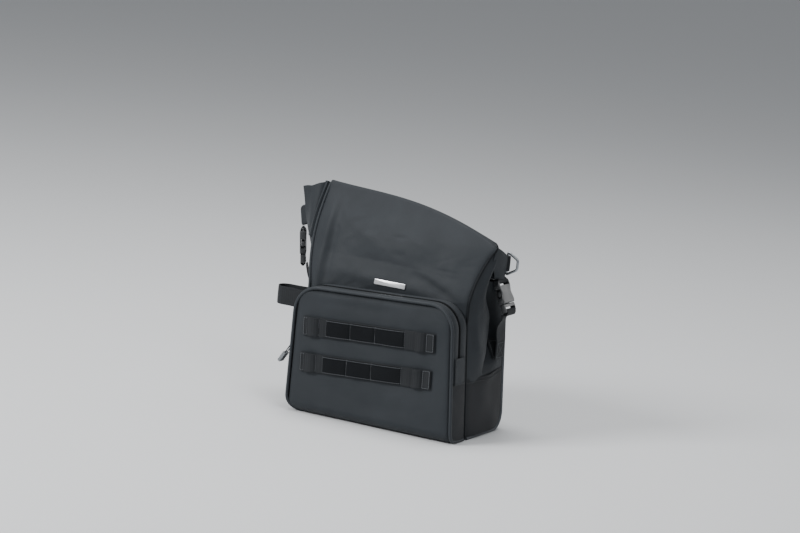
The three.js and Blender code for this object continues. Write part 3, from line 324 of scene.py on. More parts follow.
def edit(piece, *steps):
    """Takes a whole piece through a few steps in edit mode."""
    pick(piece)
    bpy.ops.object.mode_set(mode="EDIT")
    bpy.ops.mesh.select_all(action="SELECT")
    for step in steps:
        step()
    bpy.ops.object.mode_set(mode="OBJECT")


def dress(piece, finish, slot, body, *nodes, smooth=50):
    """Gives a finished piece its material and its place in the assembly.

    Body is what it rides on, or the two bodies and two points that it should be blended between;
    these are not used, and such a piece is left unattached. Nodes are the part's nodes that it stands for.
    """
    piece.data.materials.clear()
    piece.data.materials.append(finish)
    pick(piece)
    bpy.ops.object.transform_apply(location=True, rotation=True, scale=True)
    bpy.ops.object.shade_smooth_by_angle(angle=math.radians(smooth))
    piece.select_set(False)
    if isinstance(body, str):
        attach(piece, body)
    else:
        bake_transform(piece)
    if nodes:
        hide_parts(*nodes)


def clamp(value, low=0.0, high=1.0):
    return min(max(value, low), high)


def mix(a, b, share):
    return a + (b - a) * share


def evenly(low, high, steps):
    """Evenly spaced values, with both ends."""
    return [mix(low, high, i / steps) for i in range(steps + 1)]


def ease(low, high, value):
    t = clamp((value - low) / (high - low))
    return t * t * (3 - 2 * t)


def hump(share):
    """Up from 0 to 1 and down again, as share runs from 0 to 1."""
    return math.sin(math.pi * clamp(share))


def bell(value, centre, width):
    return math.exp(-((value - centre) / width) ** 2)


def near_seams(from_tall, from_low, tall_reach, low_reach):
    """How strongly the seams at both ends draw cloth in, at a distance from each of them."""
    return math.exp(-from_tall / tall_reach) + math.exp(-from_low / low_reach)


def drift(x, y, z, size, seed=0.0):
    """Slow, even unevenness of cloth, from -1 to 1."""
    return noise.noise(Vector((x / size + seed, y / size - seed, z / size)))


def crease(x, z, x0, z0, x1, z1, width, height):
    """One long soft crease, from one point to another, that fades out at its ends."""
    run = Vector((x1 - x0, z1 - z0))
    along = clamp(((x - x0) * run.x + (z - z0) * run.y) / run.length_squared)
    off = math.hypot(x - x0 - run.x * along, z - z0 - run.y * along)
    return height * bell(off, 0, width) * hump(mix(0.12, 0.88, along))


def fine_creases(seed, count, x_range, z_range):
    """Short, shallow creases scattered over a panel that is often folded and packed."""
    chance = random.Random(seed)
    creases = []
    for _ in range(count):
        x, z = chance.uniform(*x_range), chance.uniform(*z_range)
        angle, reach = chance.uniform(-0.7, 0.7), chance.uniform(0.014, 0.034)
        height = chance.choice((-1, 1)) * chance.uniform(0.00025, 0.0007)
        width = chance.uniform(0.0022, 0.0045)
        creases.append((x, z, x + reach * math.cos(angle), z - reach * math.sin(angle), width, height))
    return creases


# The body's driving sizes, in metres. Across runs from 0 at the tall end to 1 at the low end, and end
# is -1 at the tall end and 1 at the low end.
ridge_top, ridge_fall = 0.302, 0.047
half_base, base_taper = 0.125, 0.014
front_face, back_face = -0.035, 0.075
foot_centre, foot_radius = 0.05, 0.025
pocket_line = 0.15
seam_gap = 0.0012
to_low_end, to_front, to_back = Vector((1, 0, 0)), Vector((0, -1, 0)), Vector((0, 1, 0))


def ridge_height(across):
    return ridge_top - ridge_fall * across + 0.014 * hump(clamp(across) ** 1.2)


def lean(across, z):
    """How far up the leaning part of the front a height is, from 0 to 1."""
    start = 0.168 + 0.012 * across
    return clamp((z - start) / (ridge_height(across) - start))


def front_y(across, z):
    leaned = lean(across, z)
    crown = 0.006 * hump((leaned - 0.33) / 0.67) * 4 * across * (1 - across)
    return front_face + 0.038 * leaned ** 1.15 - crown


def seam_x(end, z):
    """Where the front is sewn to a gusset."""
    if end < 0:
        return -(half_base + 0.006 * z / ridge_top + 0.008 * hump(lean(0, z)))
    return half_base - base_taper * min(z / pocket_line, 1) + 0.016 * lean(1, z) ** 2.2


def back_y(across, z):
    if z < foot_radius:
        return foot_centre + math.sqrt(max(foot_radius ** 2 - (foot_radius - z) ** 2, 0))
    return mix(back_face, 0.0385, ease(pocket_line, 0.232 - 0.025 * across, z))


def back_seam_x(end, z):
    """Where the back is sewn to a gusset."""
    grow = 0.006 * z / ridge_top
    return -(half_base + grow) if end < 0 else half_base - base_taper * min(z / pocket_line, 1) + grow


# Long soft folds of the front wall: from one x and z to another, the width, and the height inwards.
wall_folds = (
    (-0.117, 0.16, -0.113, 0.29, 0.006, -0.003),
    (-0.104, 0.165, -0.102, 0.285, 0.006, 0.002),
    (-0.09, 0.192, 0.05, 0.186, 0.009, -0.0016),
    (0.02, 0.215, 0.1, 0.188, 0.009, -0.0022),
    (0.03, 0.204, 0.1, 0.178, 0.006, 0.0016),
    (-0.02, 0.275, 0.1, 0.224, 0.011, 0.0016),
    (-0.09, 0.262, -0.02, 0.228, 0.008, -0.0011),
)
wall_creases = fine_creases(5, 22, (-0.115, 0.09), (0.16, 0.28))
wall_foot, below_ridge, ridge_share = 0.1495, 0.0022, 0.9


def front_wall_point(across, up):
    """The wall up to the ridge, then on over the ridge to the top of the roll behind it."""
    over = clamp((up - ridge_share) / (1 - ridge_share))
    up = min(up / ridge_share, 1)
    ridge = ridge_height(across)
    z = mix(wall_foot, ridge - below_ridge, up)
    tall = seam_x(-1, mix(pocket_line, ridge_top, up)) + seam_gap
    low = seam_x(1, mix(pocket_line, ridge_top - ridge_fall, up)) - seam_gap
    x = mix(tall, low, across)
    from_tall, from_low = x - tall, low - x
    pull = near_seams(from_tall, from_low, 0.007, mix(0.016, 0.008, up))
    belly = 0.0045 * (1 - pull) * ease(0, 0.35, up) * (1 - up ** 3)
    y = front_y(across, z) - 0.001 + 0.0026 * clamp(pull) * (1 - up ** 6) - belly
    y += 0.0034 * near_seams(from_tall, from_low, 0.0016, 0.0013) * (1 - up ** 12)
    loose = (1 - clamp(pull)) * (1 - up ** 6)
    for size, height, seed in ((0.085, 0.0026, 3), (0.034, 0.0011, 7), (0.012, 0.0004, 5)):
        y += loose * height * drift(x, 0, z, size, seed)
    y += loose * sum(crease(x, z, *fold) for fold in (*wall_creases, *wall_folds))
    if over > 0:
        corner = math.exp(-from_low / 0.010)
        x -= 0.007 * over ** 0.6 * corner
        y += 0.0145 * over
        z = mix(z, ridge - 0.0012, over) + 0.0028 * hump(over ** 0.6) * (1 - corner)
    return Vector((x, y, z))


front_wall = lay_cloth("front_wall", (130, 100), front_wall_point, (0.25, 0.165), 0.0018, -1)
over_ridge = ("shell", "roll", (0, 0.0, 0.29), (0, 0.014, 0.29))
dress(front_wall, wall_cloth, "shell_fabric", over_ridge, "front_panel")


def lower_front_point(across, up):
    """The flat wall behind the pocket."""
    z = mix(0.0022, 0.1505, up)
    x = mix(seam_x(-1, z) + seam_gap, seam_x(1, z) - seam_gap, across)
    pull = near_seams(x - seam_x(-1, z), seam_x(1, z) - x, 0.006, 0.006)
    return Vector((x, -0.036 + 0.0022 * clamp(pull) + 0.0006 * drift(x, 0, z, 0.05, 1), z))


lower_front = lay_cloth("lower_front_wall", (60, 40), lower_front_point, (0.25, 0.15), 0.0024, -1)
dress(lower_front, wall_cloth, "shell_fabric", "shell", "pocket_back_panel")


def back_wall_point(across, up):
    """The back, with its curved foot in the lowest part of the grid."""
    foot_share = 0.16
    if up < foot_share:
        angle = math.pi / 2 * up / foot_share
        y, z = foot_centre + foot_radius * math.sin(angle), foot_radius - foot_radius * math.cos(angle)
    else:
        z = mix(foot_radius, mix(0.2265, 0.2045, across), (up - foot_share) / (1 - foot_share))
        y = back_y(across, z)
    tall, low = back_seam_x(-1, z) + 0.0022, back_seam_x(1, z) - 0.0022
    x = mix(tall, low, across)
    pull = near_seams(x - tall, low - x, 0.008, 0.008)
    soft = (1 - clamp(pull)) * ease(0.2, 0.45, up)
    y += soft * (0.0012 * drift(x, 0, z, 0.07, 11) - crease(x, z, -0.1, 0.19, 0.08, 0.165, 0.01, 0.0007))
    return Vector((x, y - 0.0012 * clamp(pull) * ease(0, 0.2, up), z))


back_wall = lay_cloth("back_wall", (90, 100), back_wall_point, (0.25, 0.24), 0.0024, 1)
dress(back_wall, wall_cloth, "shell_fabric", "shell", "back_panel")


def base_point(across, up):
    x, y = mix(-0.1225, 0.1225, across), mix(-0.0332, 0.0502, up)
    rim = min(across, 1 - across, up, 1 - up)
    return Vector((x, y, 0.0004 + 0.0009 * math.exp(-rim / 0.02)))


base_cloth = lay_cloth("base_cloth", (60, 24), base_point, (0.245, 0.083), 0.0022, 1)
edit(base_cloth, face_out)
dress(base_cloth, band_cloth, "band_fabric", "shell", "base_panel")

# ---------------------------------------------------------------- gussets
# Each end is closed by one long gusset of the same cloth, folded inwards like a paper bag at the low
# end. At the tall end it is pressed flat above the roll's shoulder and stands out as an ear.


def gusset_back(across, z):
    """Y of the gusset's back edge, which lies 3 mm inside the back."""
    if z < foot_radius:
        return foot_centre + math.sqrt(max(0.0215 ** 2 - (foot_radius - z) ** 2, 0))
    slope = (back_y(across, z + 0.001) - back_y(across, z)) / 0.001
    return back_y(across, z) - 0.0030 * math.hypot(1, slope)


def gusset_surface(end, around, z):
    """A gusset without its folds; around runs from 0 at the front seam to 1 at the back seam."""
    across = 0 if end < 0 else 1
    front = front_y(across, z) + 0.0018
    y = mix(front, gusset_back(across, z), around)
    wave = hump(around)
    seam = 0.0022 * math.exp(-min(around, 1 - around) * 0.09 / 0.004)
    x = mix(seam_x(end, z), back_seam_x(end, z), around) + end * (0.003 * wave - seam)
    if end < 0:
        x -= 0.0375 * clamp((z - 0.12) / 0.167) ** 1.5 * wave
    else:
        x += 0.003 * hump((z - 0.085) / 0.14) * hump((around - 0.6) / 0.4)
    return Vector((x, y, z))


gusset_foot = 0.0046


def slack(around, z):
    """How free a gusset is to wander, away from its seams and its foot."""
    return hump(around) ** 0.5 * ease(0.01, 0.05, z)


def low_gusset_shape(around, z):
    """The low end's gusset, with the infold behind its full front edge."""
    point = gusset_surface(1, around, z)
    uneven = 0.0014 * drift(0, point.y, z, 0.04, 5) + 0.0005 * drift(0, point.y, z, 0.015, 2)
    point.x += slack(around, z) * uneven
    point.x += 0.0055 * bell(around, 0.26, 0.15) * ease(0.06, 0.12, z) * (1 - ease(0.23, 0.25, z))
    edge = mix(0.34, 0.52, ease(0.086, 0.14, z)) - 0.09 * ease(0.145, 0.2, z)
    pit = edge + 0.055
    depth = 0.026 * hump((z - 0.083) / 0.14) ** 0.8
    if around < pit:
        point.x -= depth * ease(edge, pit, around)
    else:
        point.x -= depth * (1 - ease(pit, pit + 0.38, around))
    point.x += crease(point.y, z, -0.026, 0.21, -0.012, 0.12, 0.006, 0.0018)
    return point


def low_gusset_point(around, up):
    top = mix(0.2495, 0.2045, ease(0.2, 0.44, around))
    return low_gusset_shape(around, mix(gusset_foot, top, up))


low_gusset = lay_cloth("low_end_gusset", (110, 150), low_gusset_point, (0.105, 0.25), 0.002, -1)
dress(low_gusset, wall_cloth, "shell_fabric", "shell", "gusset_low_end")


def tall_gusset_shape(around, z):
    """The tall end's gusset, which bulges outwards as it climbs to the ear."""
    point = gusset_surface(-1, around, z)
    uneven = 0.0018 * drift(0, point.y, z, 0.045, 15) + 0.0006 * drift(0, point.y, z, 0.016, 4)
    point.x -= slack(around, z) * uneven
    point.x += crease(point.y, z, -0.01, 0.22, 0.0, 0.12, 0.006, 0.004)
    point.x -= crease(point.y, z, 0.012, 0.225, 0.02, 0.13, 0.008, 0.003)
    return point


def tall_gusset_point(around, up):
    return tall_gusset_shape(around, mix(gusset_foot, 0.2279, up))


tall_gusset = lay_cloth("tall_end_gusset", (80, 130), tall_gusset_point, (0.105, 0.225), 0.002, 1)
dress(tall_gusset, wall_cloth, "shell_fabric", "shell", "gusset_tall_end")


def ear_point(out, up):
    """The pressed top of the tall end's gusset, from the front seam out to its folded edge."""
    ear_foot = 0.2262
    seam_z, edge_z = mix(ear_foot, 0.3002, up), mix(ear_foot, 0.287, up)
    seam = Vector((seam_x(-1, seam_z) - 0.0006, front_y(0, seam_z) + 0.0012, seam_z))
    edge = gusset_surface(-1, 0.5, edge_z)
    edge.y = 0.009
    point = seam.lerp(edge, out)
    point.y += 0.004 * bell(out, 0.16, 0.09) * ease(0.1, 0.6, up) - 0.002 * bell(out, 0.45, 0.2)
    point.y += 0.0012 * drift(point.x, 0, point.z, 0.03, 9)
    point.z += 0.0012 * math.sin(2.6 * math.pi * out) * up ** 8
    return point


ear = lay_cloth("tall_end_ear", (50, 60), ear_point, (0.045, 0.07), 0.0042, -1, edge=0.0012, angle=50)
dress(ear, wall_cloth, "shell_fabric", "shell", "gusset_ear")

# ---------------------------------------------------------------- lower bands
# A second layer of tougher cloth guards the foot of both gussets and of the back. Its top hem is
# folded over and sewn, and gapes a little where the gusset above it folds in.


hem_height = 0.93


def band_point(end):
    """The band of one end, just outside the gusset."""
    def place(around, up):
        z = mix(gusset_foot, mix(0.0805, 0.0855, around), up)
        point = gusset_surface(end, around, z)
        gape = bell(around, 0.5, 0.22) * ease(0.75, 1, up)
        uneven = hump(around) ** 0.5 * drift(0, point.y, z, 0.04, 21)
        point.x += end * (0.0008 + 0.0024 * gape + 0.0012 * uneven)
        point.z -= 0.0015 * gape
        return point
    return place


def thread_finish(name, dark, pale):
    """Polyester sewing thread, a little uneven in tone along its length."""
    finish, tree, shader = new_finish(name, {"Sheen Weight": 0.1, "Roughness": 0.6})
    feed(tree, shader, {"Base Color": mixed_colour(tree, speckle(tree, 900), dark, pale)})
    return finish


dark_thread = thread_finish("dark_thread", (0.010, 0.0115, 0.013), (0.026, 0.029, 0.033))


def path_length(points):
    return sum((b - a).length for a, b in zip(points, points[1:]))


def even_path(points, steps):
    """Points at even steps along a path."""
    lengths = [0.0]
    for a, b in zip(points, points[1:]):
        lengths.append(lengths[-1] + (b - a).length)
    spots, k = [], 0
    for i in range(steps + 1):
        at = lengths[-1] * i / steps
        while k < len(points) - 2 and lengths[k + 1] < at:
            k += 1
        share = (at - lengths[k]) / max(lengths[k + 1] - lengths[k], 1e-9)
        spots.append(points[k].lerp(points[k + 1], clamp(share)))
    return spots


def add_skin(build, rings):
    """Puts a closed skin through rings with the same number of points into a bmesh."""
    rows = [[build.verts.new(p) for p in ring] for ring in rings]
    count = len(rings[0])
    for one, two in zip(rows, rows[1:]):
        for k in range(count):
            after = (k + 1) % count
            build.faces.new((one[k], one[after], two[after], two[k]))
    build.faces.new(rows[0][::-1])
    build.faces.new(rows[-1])


def sew(name, lines, body, finish=dark_thread, pitch=0.0032, gauge=0.00042):
    """Stitches along lines. A line is a list of points and the way that its cloth faces."""
    stitches = bmesh.new()
    for points, facing in lines:
        spots = even_path(points, 2 * max(1, round(path_length(points) / pitch)))
        lift = facing.normalized() * gauge
        for start, middle, end in zip(spots[::2], spots[1::2], spots[2::2]):
            along = (end - start) * 0.4
            across = along.cross(facing).normalized() * gauge
            rings = []
            for step, size, up in ((-1, 0.45, -0.6), (-0.5, 1, 0.7), (0.5, 1, 0.7), (1, 0.45, -0.6)):
                centre = middle + along * step + lift * up
                rings.append([centre + spoke * size for spoke in (across, lift, -across, -lift)])
            add_skin(stitches, rings)
    dress(new_piece(name, stitches), finish, "cord", body, smooth=80)


for end, label in ((-1, "tall"), (1, "low")):
    place = band_point(end)
    band = lay_cloth(f"{label}_end_band", (50, 36), place, (0.105, 0.08), 0.0016, -end, 0.0005, 50)
    dress(band, band_cloth, "band_fabric", "shell", f"side_band_{label}_end")
    outward = to_low_end * end
    hem = [place(around, hem_height) + outward * 0.0003 for around in evenly(0, 1, 40)[1:-1]]
    sew(f"{label}_end_band_stitches", [(hem, outward)], "shell")


def back_band_point(across, up):
    x, z = mix(-0.1213, 0.1143, across), mix(0.0255, 0.085, up)
    return Vector((x, 0.0757 + 0.0006 * drift(x, 0, z, 0.05, 6), z))


back_band = lay_cloth("back_band", (60, 16), back_band_point, (0.24, 0.06), 0.0014, 1)
dress(back_band, band_cloth, "band_fabric", "shell", "back_band")
hem = [back_band_point(across, hem_height) + to_back * 0.0015 for across in evenly(0, 1, 30)]
sew("back_band_stitches", [(hem, to_back)], "shell")

# ---------------------------------------------------------------- stiffening boards
# Two plain sheets of black plastic, cut to the shape of the base and the back. Each is slipped in
# between the cloth and its lining, and keeps that wall flat.
board_finish, tree, shader = new_finish(
    "black_board", {"Base Color": (0.02, 0.02, 0.022, 1), "Roughness": 0.55}
)
feed(tree, shader, {"Normal": relief(tree, speckle(tree, 260), 0.3, 0.0002)})


def refinish(node, finish):
    """Gives a node of the part, kept as it is, a better finish."""
    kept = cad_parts[node]
    kept.data.materials.clear()
    kept.data.materials.append(finish)


for node in ("base_board", "back_board"):
    refinish(node, board_finish)

# ---------------------------------------------------------------- piping of the walls
# A cord covered with a folded strip of cloth is sewn in along each seam. The front's cord lies deep in
# the low end's seam, and there its cloth is duller and painted darker, as painted shade. The binding of
# the back and base is painted paler, as painted light thrown up from the floor.
piping_cloth = cloth_finish(
    "piping_cloth", (0.0145, 0.0172, 0.0205), (0.030, 0.0355, 0.042), 0.0009, 0.52, 0.25
)
# Painted shade: the low end's front cord gets a darker copy of the piping cloth for the shade deep in its
# seam.
painted_shade_piping_cloth = cloth_finish(
    "painted_shade_piping_cloth", (0.0045, 0.0054, 0.0066), (0.0115, 0.0135, 0.016), 0.0009, 0.65, 0.25, shine=0.14
)
# Painted light: the binding is made paler than the band, standing in for the light that the floor throws up
# onto it.
floor_lit_binding_cloth = cloth_finish(
    "base_binding_painted_bounce", (0.042, 0.047, 0.053), (0.082, 0.091, 0.101), 0.0009, 0.55, 0.3, shine=0.35
)


def tube_along(name, points, radius, sides=12, closed=False):
    """A round tube along points, as a mesh."""
    route = bpy.data.curves.new(name, "CURVE")
    route.dimensions = "3D"
    line = route.splines.new("POLY")
    line.points.add(len(points) - 1)
    for spot, point in zip(line.points, points):
        spot.co = (*point, 1)
    line.use_cyclic_u = closed
    route.bevel_depth = radius
    route.bevel_resolution = sides // 4
    route.use_fill_caps = not closed
    pick(new_piece(name, route))
    bpy.ops.object.convert(target="MESH")
    piece = bpy.context.object
    edit(piece, join_doubles, face_out, unwrap)
    return piece


foot_bend, foot_z = 0.0228, 0.0022
for end, label, front_finish, girth, sunk, back_top in (
    (-1, "tall", piping_cloth, 0.0022, 0.0012, 0.226),
    (1, "low", painted_shade_piping_cloth, 0.0018, 0.0030, 0.201),
):
    across = 0 if end < 0 else 1

    def beside(seam, y, z):
        """A point of the cord, just inside a seam."""
        return Vector((seam(end, z) - end * seam_gap, y, z))

    heights = evenly(0.0047, ridge_height(across) - below_ridge, 90)
    points = [beside(seam_x, front_y(across, z) + sunk, z) for z in heights]
    piping = tube_along(f"{label}_end_front_piping", points, girth)
    dress(piping, front_finish, "piping", "shell", f"front_piping_{label}_end")
    points = [beside(back_seam_x, y, foot_z) for y in (-0.0283, 0.0, 0.03)]
    for angle in evenly(0, math.pi / 2, 16):
        y, z = foot_centre + foot_bend * math.sin(angle), foot_radius - foot_bend * math.cos(angle)
        points.append(beside(back_seam_x, y, z))
    heights = evenly(foot_radius, back_top, 60)[1:]
    points += [beside(back_seam_x, back_y(across, z) - 0.0022, z) for z in heights]
    piping = tube_along(f"{label}_end_back_piping", points, 0.0026)
    dress(piping, floor_lit_binding_cloth, "piping", "shell", f"back_piping_{label}_end")

# ---------------------------------------------------------------- rolled top
# The two walls run on above the ridge and are rolled together round a stiff strip, down behind the
# ridge. The roll's ends show the turns of cloth, one inside the other.


def roll_bottom(x):
    return mix(0.232, 0.207, (x + 0.17) / 0.286)


def roll_top(x):
    across = clamp((x + 0.131) / 0.258)
    return ridge_height(across) - 0.0016 - 0.025 * clamp((-0.12 - x) / 0.05)


def roll_ring(x, inset=0.0):
    """One section of the roll, comma-shaped where the outer turn of cloth ends."""
    high, low = roll_top(x) - inset, roll_bottom(x) + inset
    forward = 0.0185 * ease(-0.131, -0.1095, x)
    ring = []
    for turn in evenly(0, 1, 64)[:-1]:
        angle = 2 * math.pi * turn
        tall, deep = math.sin(angle), math.cos(angle)
        height = (math.copysign(abs(tall) ** 0.6, tall) + 1) / 2
        wrap = 0.0010 * ease(0.5, 0.0, abs((turn - 0.78) % 1.0 - 0.5))
        half = 0.0114 - inset + wrap + 0.0007 * drift(x, angle * 0.02, 0.3, 0.03, 12)
        y = 0.0295 - forward * height ** 2 + half * math.copysign(abs(deep) ** 0.6, deep)
        ring.append(Vector((x, y, mix(low, high, height))))
    return ring


def end_ring(x, inset):
    """A smaller section near an end of the roll, all at one x."""
    return [Vector((x, p.y, p.z)) for p in roll_ring(max(x, -0.1699), inset)]


# The turns of cloth at each end: x and inset.
tall_turns = (
    (-0.163, 0.0095), (-0.1685, 0.0078), (-0.1662, 0.0062),
    (-0.1692, 0.0045), (-0.1672, 0.003), (-0.17, 0.0012),
)
low_turns = (
    (0.116, 0.0012), (0.1132, 0.003), (0.1152, 0.0045),
    (0.1122, 0.0062), (0.1145, 0.0078), (0.109, 0.0095),
)


def skin(name, rings):
    """A closed skin through rings with the same number of points."""
    build = bmesh.new()
    add_skin(build, rings)
    piece = new_piece(name, build)
    edit(piece, unwrap)
    return piece


rings = [end_ring(x, inset) for x, inset in tall_turns]
rings += [roll_ring(x) for x in evenly(-0.1695, 0.1155, 90)]
rings += [end_ring(x, inset) for x, inset in low_turns]
rolled_top = skin("rolled_top", rings)
dress(rolled_top, wall_cloth, "shell_fabric", "roll", "rolled_top", smooth=60)

# The flat strip in the mouth is black plastic. It only shows at the roll's two ends.
refinish("mouth_strip", board_finish)

# ---------------------------------------------------------------- webbing of the roll
# Dark 25 mm polyester webbing, woven with ribs along it and a tight selvedge. It makes the tab at
# the roll's low end, the ring's sleeve beside it, and later the straps, the loops and the rows.


def ribbed_webbing():
    """Webbing over a UV map in metres, X across it: ribs along it, crossed by the filling threads, with
    painted shade that is dark in the hollows and pale on the ribs.
    """
    values = {"Pitch": 0.0013, "Unevenness": 0.5}
    group, entry, leave = new_group("ribbed_webbing", values, ("Height", "Painted_shade_and_unevenness"))
    ribs, filling = thread_waves(group, entry["Pitch"], (1, 0.8))
    weave = maths(group, "MULTIPLY_ADD", filling, 0.3, maths(group, "ABSOLUTE", ribs))
    height = maths(group, "MULTIPLY_ADD", speckle(group, 1100, over="UV"), entry["Unevenness"], weave)
    # Painted shade: the webbing's tone is dark in its hollows and pale on its ribs.
    feed(group, leave, {"Height": height, "Painted_shade_and_unevenness": remap(group, height, (-0.2, 1.7))})
    return group


webbing_cloth = cloth_finish(
    "charcoal_webbing", (0.0042, 0.0050, 0.0063), (0.0145, 0.0168, 0.0198), 0.0026, 0.68, 0.6,
    threads=ribbed_webbing(),
)


def smooth_path(chosen, steps):
    """An even run of points on a smooth curve through a few chosen ones."""
    dense = []
    for i in range(len(chosen) - 1):
        before = chosen[i - 1] if i else chosen[0] * 2 - chosen[1]
        after = chosen[i + 2] if i + 2 < len(chosen) else chosen[-1] * 2 - chosen[-2]
        a, b = chosen[i], chosen[i + 1]
        for t in evenly(0, 1, 24)[:-1]:
            dense.append(0.5 * (2 * a + (b - before) * t + (2 * before - 5 * a + 4 * b - after) * t * t
                                + (3 * a - before - 3 * b + after) * t ** 3))
    dense.append(chosen[-1])
    return even_path(dense, steps)


def heading(points, i):
    """The way that a path runs at one of its points."""
    return (points[min(i + 1, len(points) - 1)] - points[max(i - 1, 0)]).normalized()


def lay_webbing(name, points, outward, width, thickness=0.0015):
    """A strap along points; outward is the way its face looks, one for all points or one for each."""
    def place(across, up):
        i = round(up * (len(points) - 1))
        out = outward[i] if isinstance(outward, list) else outward
        sideways = heading(points, i).cross(out).normalized()
        bow = out.normalized() * 0.0002 * math.cos(math.pi * (across - 0.5))
        return points[i] + sideways * (across - 0.5) * width + bow

    grid, size = (10, len(points) - 1), (width, path_length(points))
    return lay_cloth(name, grid, place, size, thickness, 0, edge=thickness * 0.3)


def box_seams(x, facing, front, rear, low, high):
    """Seams round a box and once across it, on cloth that faces along X."""
    corners = [(front, high), (rear, high), (rear, low), (front, low), (front, high), (rear, low)]
    return [([Vector((x, *a)), Vector((x, *b))], facing) for a, b in zip(corners, corners[1:])]


webbing_thread = thread_finish("webbing_thread", (0.035, 0.039, 0.044), (0.075, 0.082, 0.09))
tab_path = [Vector((0.1171, 0.0295, z)) for z in evenly(0.2122, 0.2413, 20)]
low_tab = lay_webbing("low_end_tab", tab_path, to_low_end, 0.0245)
dress(low_tab, webbing_cloth, "webbing", "roll", "closure_tab_low_end")
lines = box_seams(0.1181, to_low_end, 0.0188, 0.0402, 0.2215, 0.2385)
sew("low_end_tab_stitches", lines, "roll", finish=webbing_thread)

# The wall's cloth is turned in over the roll's low end and hides the tab's sewn foot. Its lower front
# edge stands away from the gusset, which leaves a dark gap between them.
cover_steps, cover_share = 40, 0.84
cover_front = smooth_path([Vector(p) for p in (
    (0.1200, 0.0155, 0.2095), (0.1206, 0.0100, 0.2200), (0.1216, 0.0010, 0.2285), (0.1238, 0.0002, 0.2400),
    (0.1262, 0.0040, 0.2520),
)], cover_steps)
cover_rear = smooth_path([Vector(p) for p in (
    (0.1256, 0.0334, 0.2085), (0.1265, 0.0336, 0.2165), (0.1272, 0.0338, 0.2240), (0.1276, 0.0338, 0.2320),
    (0.1272, 0.0338, 0.2395),
)], cover_steps)


def cover_point(across, up):
    """Up between the two edges, then over the top and inwards."""
    over = clamp((up - cover_share) / (1 - cover_share))
    i = round(cover_steps * min(up / cover_share, 1))
    point = cover_front[i].lerp(cover_rear[i], across)
    point.x += 0.0012 * hump(across) + 0.0007 * drift(0, point.y, point.z, 0.02, 13)
    point.x -= 0.009 * math.sin(math.pi / 2 * over)
    point.z += 0.003 * hump(over ** 0.8)
    return point


roll_end_cover = lay_cloth("roll_end_cover", (30, 50), cover_point, (0.032, 0.055), 0.0014, -1, edge=0.0004)
dress(roll_end_cover, wall_cloth, "shell_fabric", "roll")


def rounded_outline(corners, radii, inset, steps):
    """Points round a polygon with rounded corners, moved in by inset, in the XZ plane."""
    count = len(corners)
    ways = [(corners[(i + 1) % count] - corners[i]).normalized() for i in range(count)]
    outline = []
    for i in range(count):
        before, after = ways[i - 1], ways[i]
        turn = math.acos(clamp(before.dot(after), -1, 1))
        miter = (Vector((-before.y, before.x)) + Vector((-after.y, after.x))).normalized()
        corner = corners[i] + miter * (inset / math.cos(turn / 2))
        radius = max(radii[i] - inset, 0.0003)
        centre = corner + miter * (radius / math.cos(turn / 2))
        first = Vector((before.y, -before.x))
        for angle in evenly(0, turn, steps):
            spoke = Vector((first.x * math.cos(angle) - first.y * math.sin(angle),
                            first.x * math.sin(angle) + first.y * math.cos(angle)))
            outline.append(centre + spoke * radius)
    return outline


# The tall end's tab is a doubled flap of the wall's cloth. It leans out with the ear beside it.
tall_tab_corners = ((-0.1825, 0.229), (-0.1703, 0.235), (-0.1703, 0.261), (-0.188, 0.258))
tall_tab_corners = [Vector(c) for c in tall_tab_corners]
tall_tab_radii = (0.003, 0.0014, 0.0014, 0.007)
tall_tab_layers = (
    (0.0262, 0.0055), (0.0263, 0.003), (0.0266, 0.0012), (0.0272, 0.0003), (0.0288, 0.0003), (0.0294, 0.0012),
    (0.0296, 0.0012), (0.0302, 0.0003), (0.0318, 0.0003), (0.0324, 0.0012), (0.0324, 0.003),
)
rings = []
for y, inset in tall_tab_layers:
    ring = []
    for p in rounded_outline(tall_tab_corners, tall_tab_radii, inset, 5):
        bulge = 0.0009 * drift(p.x, y, p.y, 0.012, 6)
        bulge += crease(p.x, p.y, -0.184, 0.236, -0.17, 0.243, 0.0016, 0.0014)
        ring.append(Vector((p.x, y + (bulge if y < 0.0295 else 0), p.y)))
    rings.append(ring)
tall_tab = skin("tall_end_tab", rings)
dress(tall_tab, wall_cloth, "webbing", "roll", "closure_tab_tall_end")
outline = [Vector((p.x, 0.0263, p.y)) for p in rounded_outline(tall_tab_corners, tall_tab_radii, 0.0022, 5)]
sew("tall_end_tab_stitches", [(outline, to_front)], "roll")

# The ring's sleeve is a narrower piece of webbing, folded round the ring's long bar and sewn to the
# tab behind it. The ring itself is bent from wire, welded, and plated dark.
bar_x, bar_y, sleeve_z, sleeve_radius = 0.1248, 0.0387, 0.229, 0.0032
sleeve = [(0.1183, 0.0360), (0.1215, 0.0355)]
for angle in evenly(-math.pi / 2, math.pi / 2, 12):
    sleeve.append((bar_x + sleeve_radius * math.cos(angle), bar_y + sleeve_radius * math.sin(angle)))
sleeve += [(0.1215, 0.0419), (0.1183, 0.0414)]
sleeve = [Vector((x, y, sleeve_z)) for x, y in sleeve]
facing = [(p - Vector((min(p.x, bar_x), bar_y, sleeve_z))).normalized() for p in sleeve]
ring_sleeve = lay_webbing("ring_sleeve", sleeve, facing, 0.0198, thickness=0.0014)
dress(ring_sleeve, webbing_cloth, "webbing", "roll", "ring_tab")


def metal_scratches():
    """Fine scratches, drawn out along X."""
    group, entry, leave = new_group("metal_scratches", {"Length": 0.03}, ("Mask",))
    where = add_node(group, "TexCoord", {}).outputs["Object"]
    sized = add_node(group, "CombineXYZ", {"X": entry["Length"], "Y": 1, "Z": 1}).outputs[0]
    drawn = add_node(group, "VectorMath", {0: where, 1: sized}, operation="MULTIPLY").outputs[0]
    hair = add_node(group, "TexNoise", {"Vector": drawn, "Scale": 900, "Detail": 3})
    feed(group, leave, {"Mask": hair.outputs["Fac"]})
    return group


scratches_group = metal_scratches()


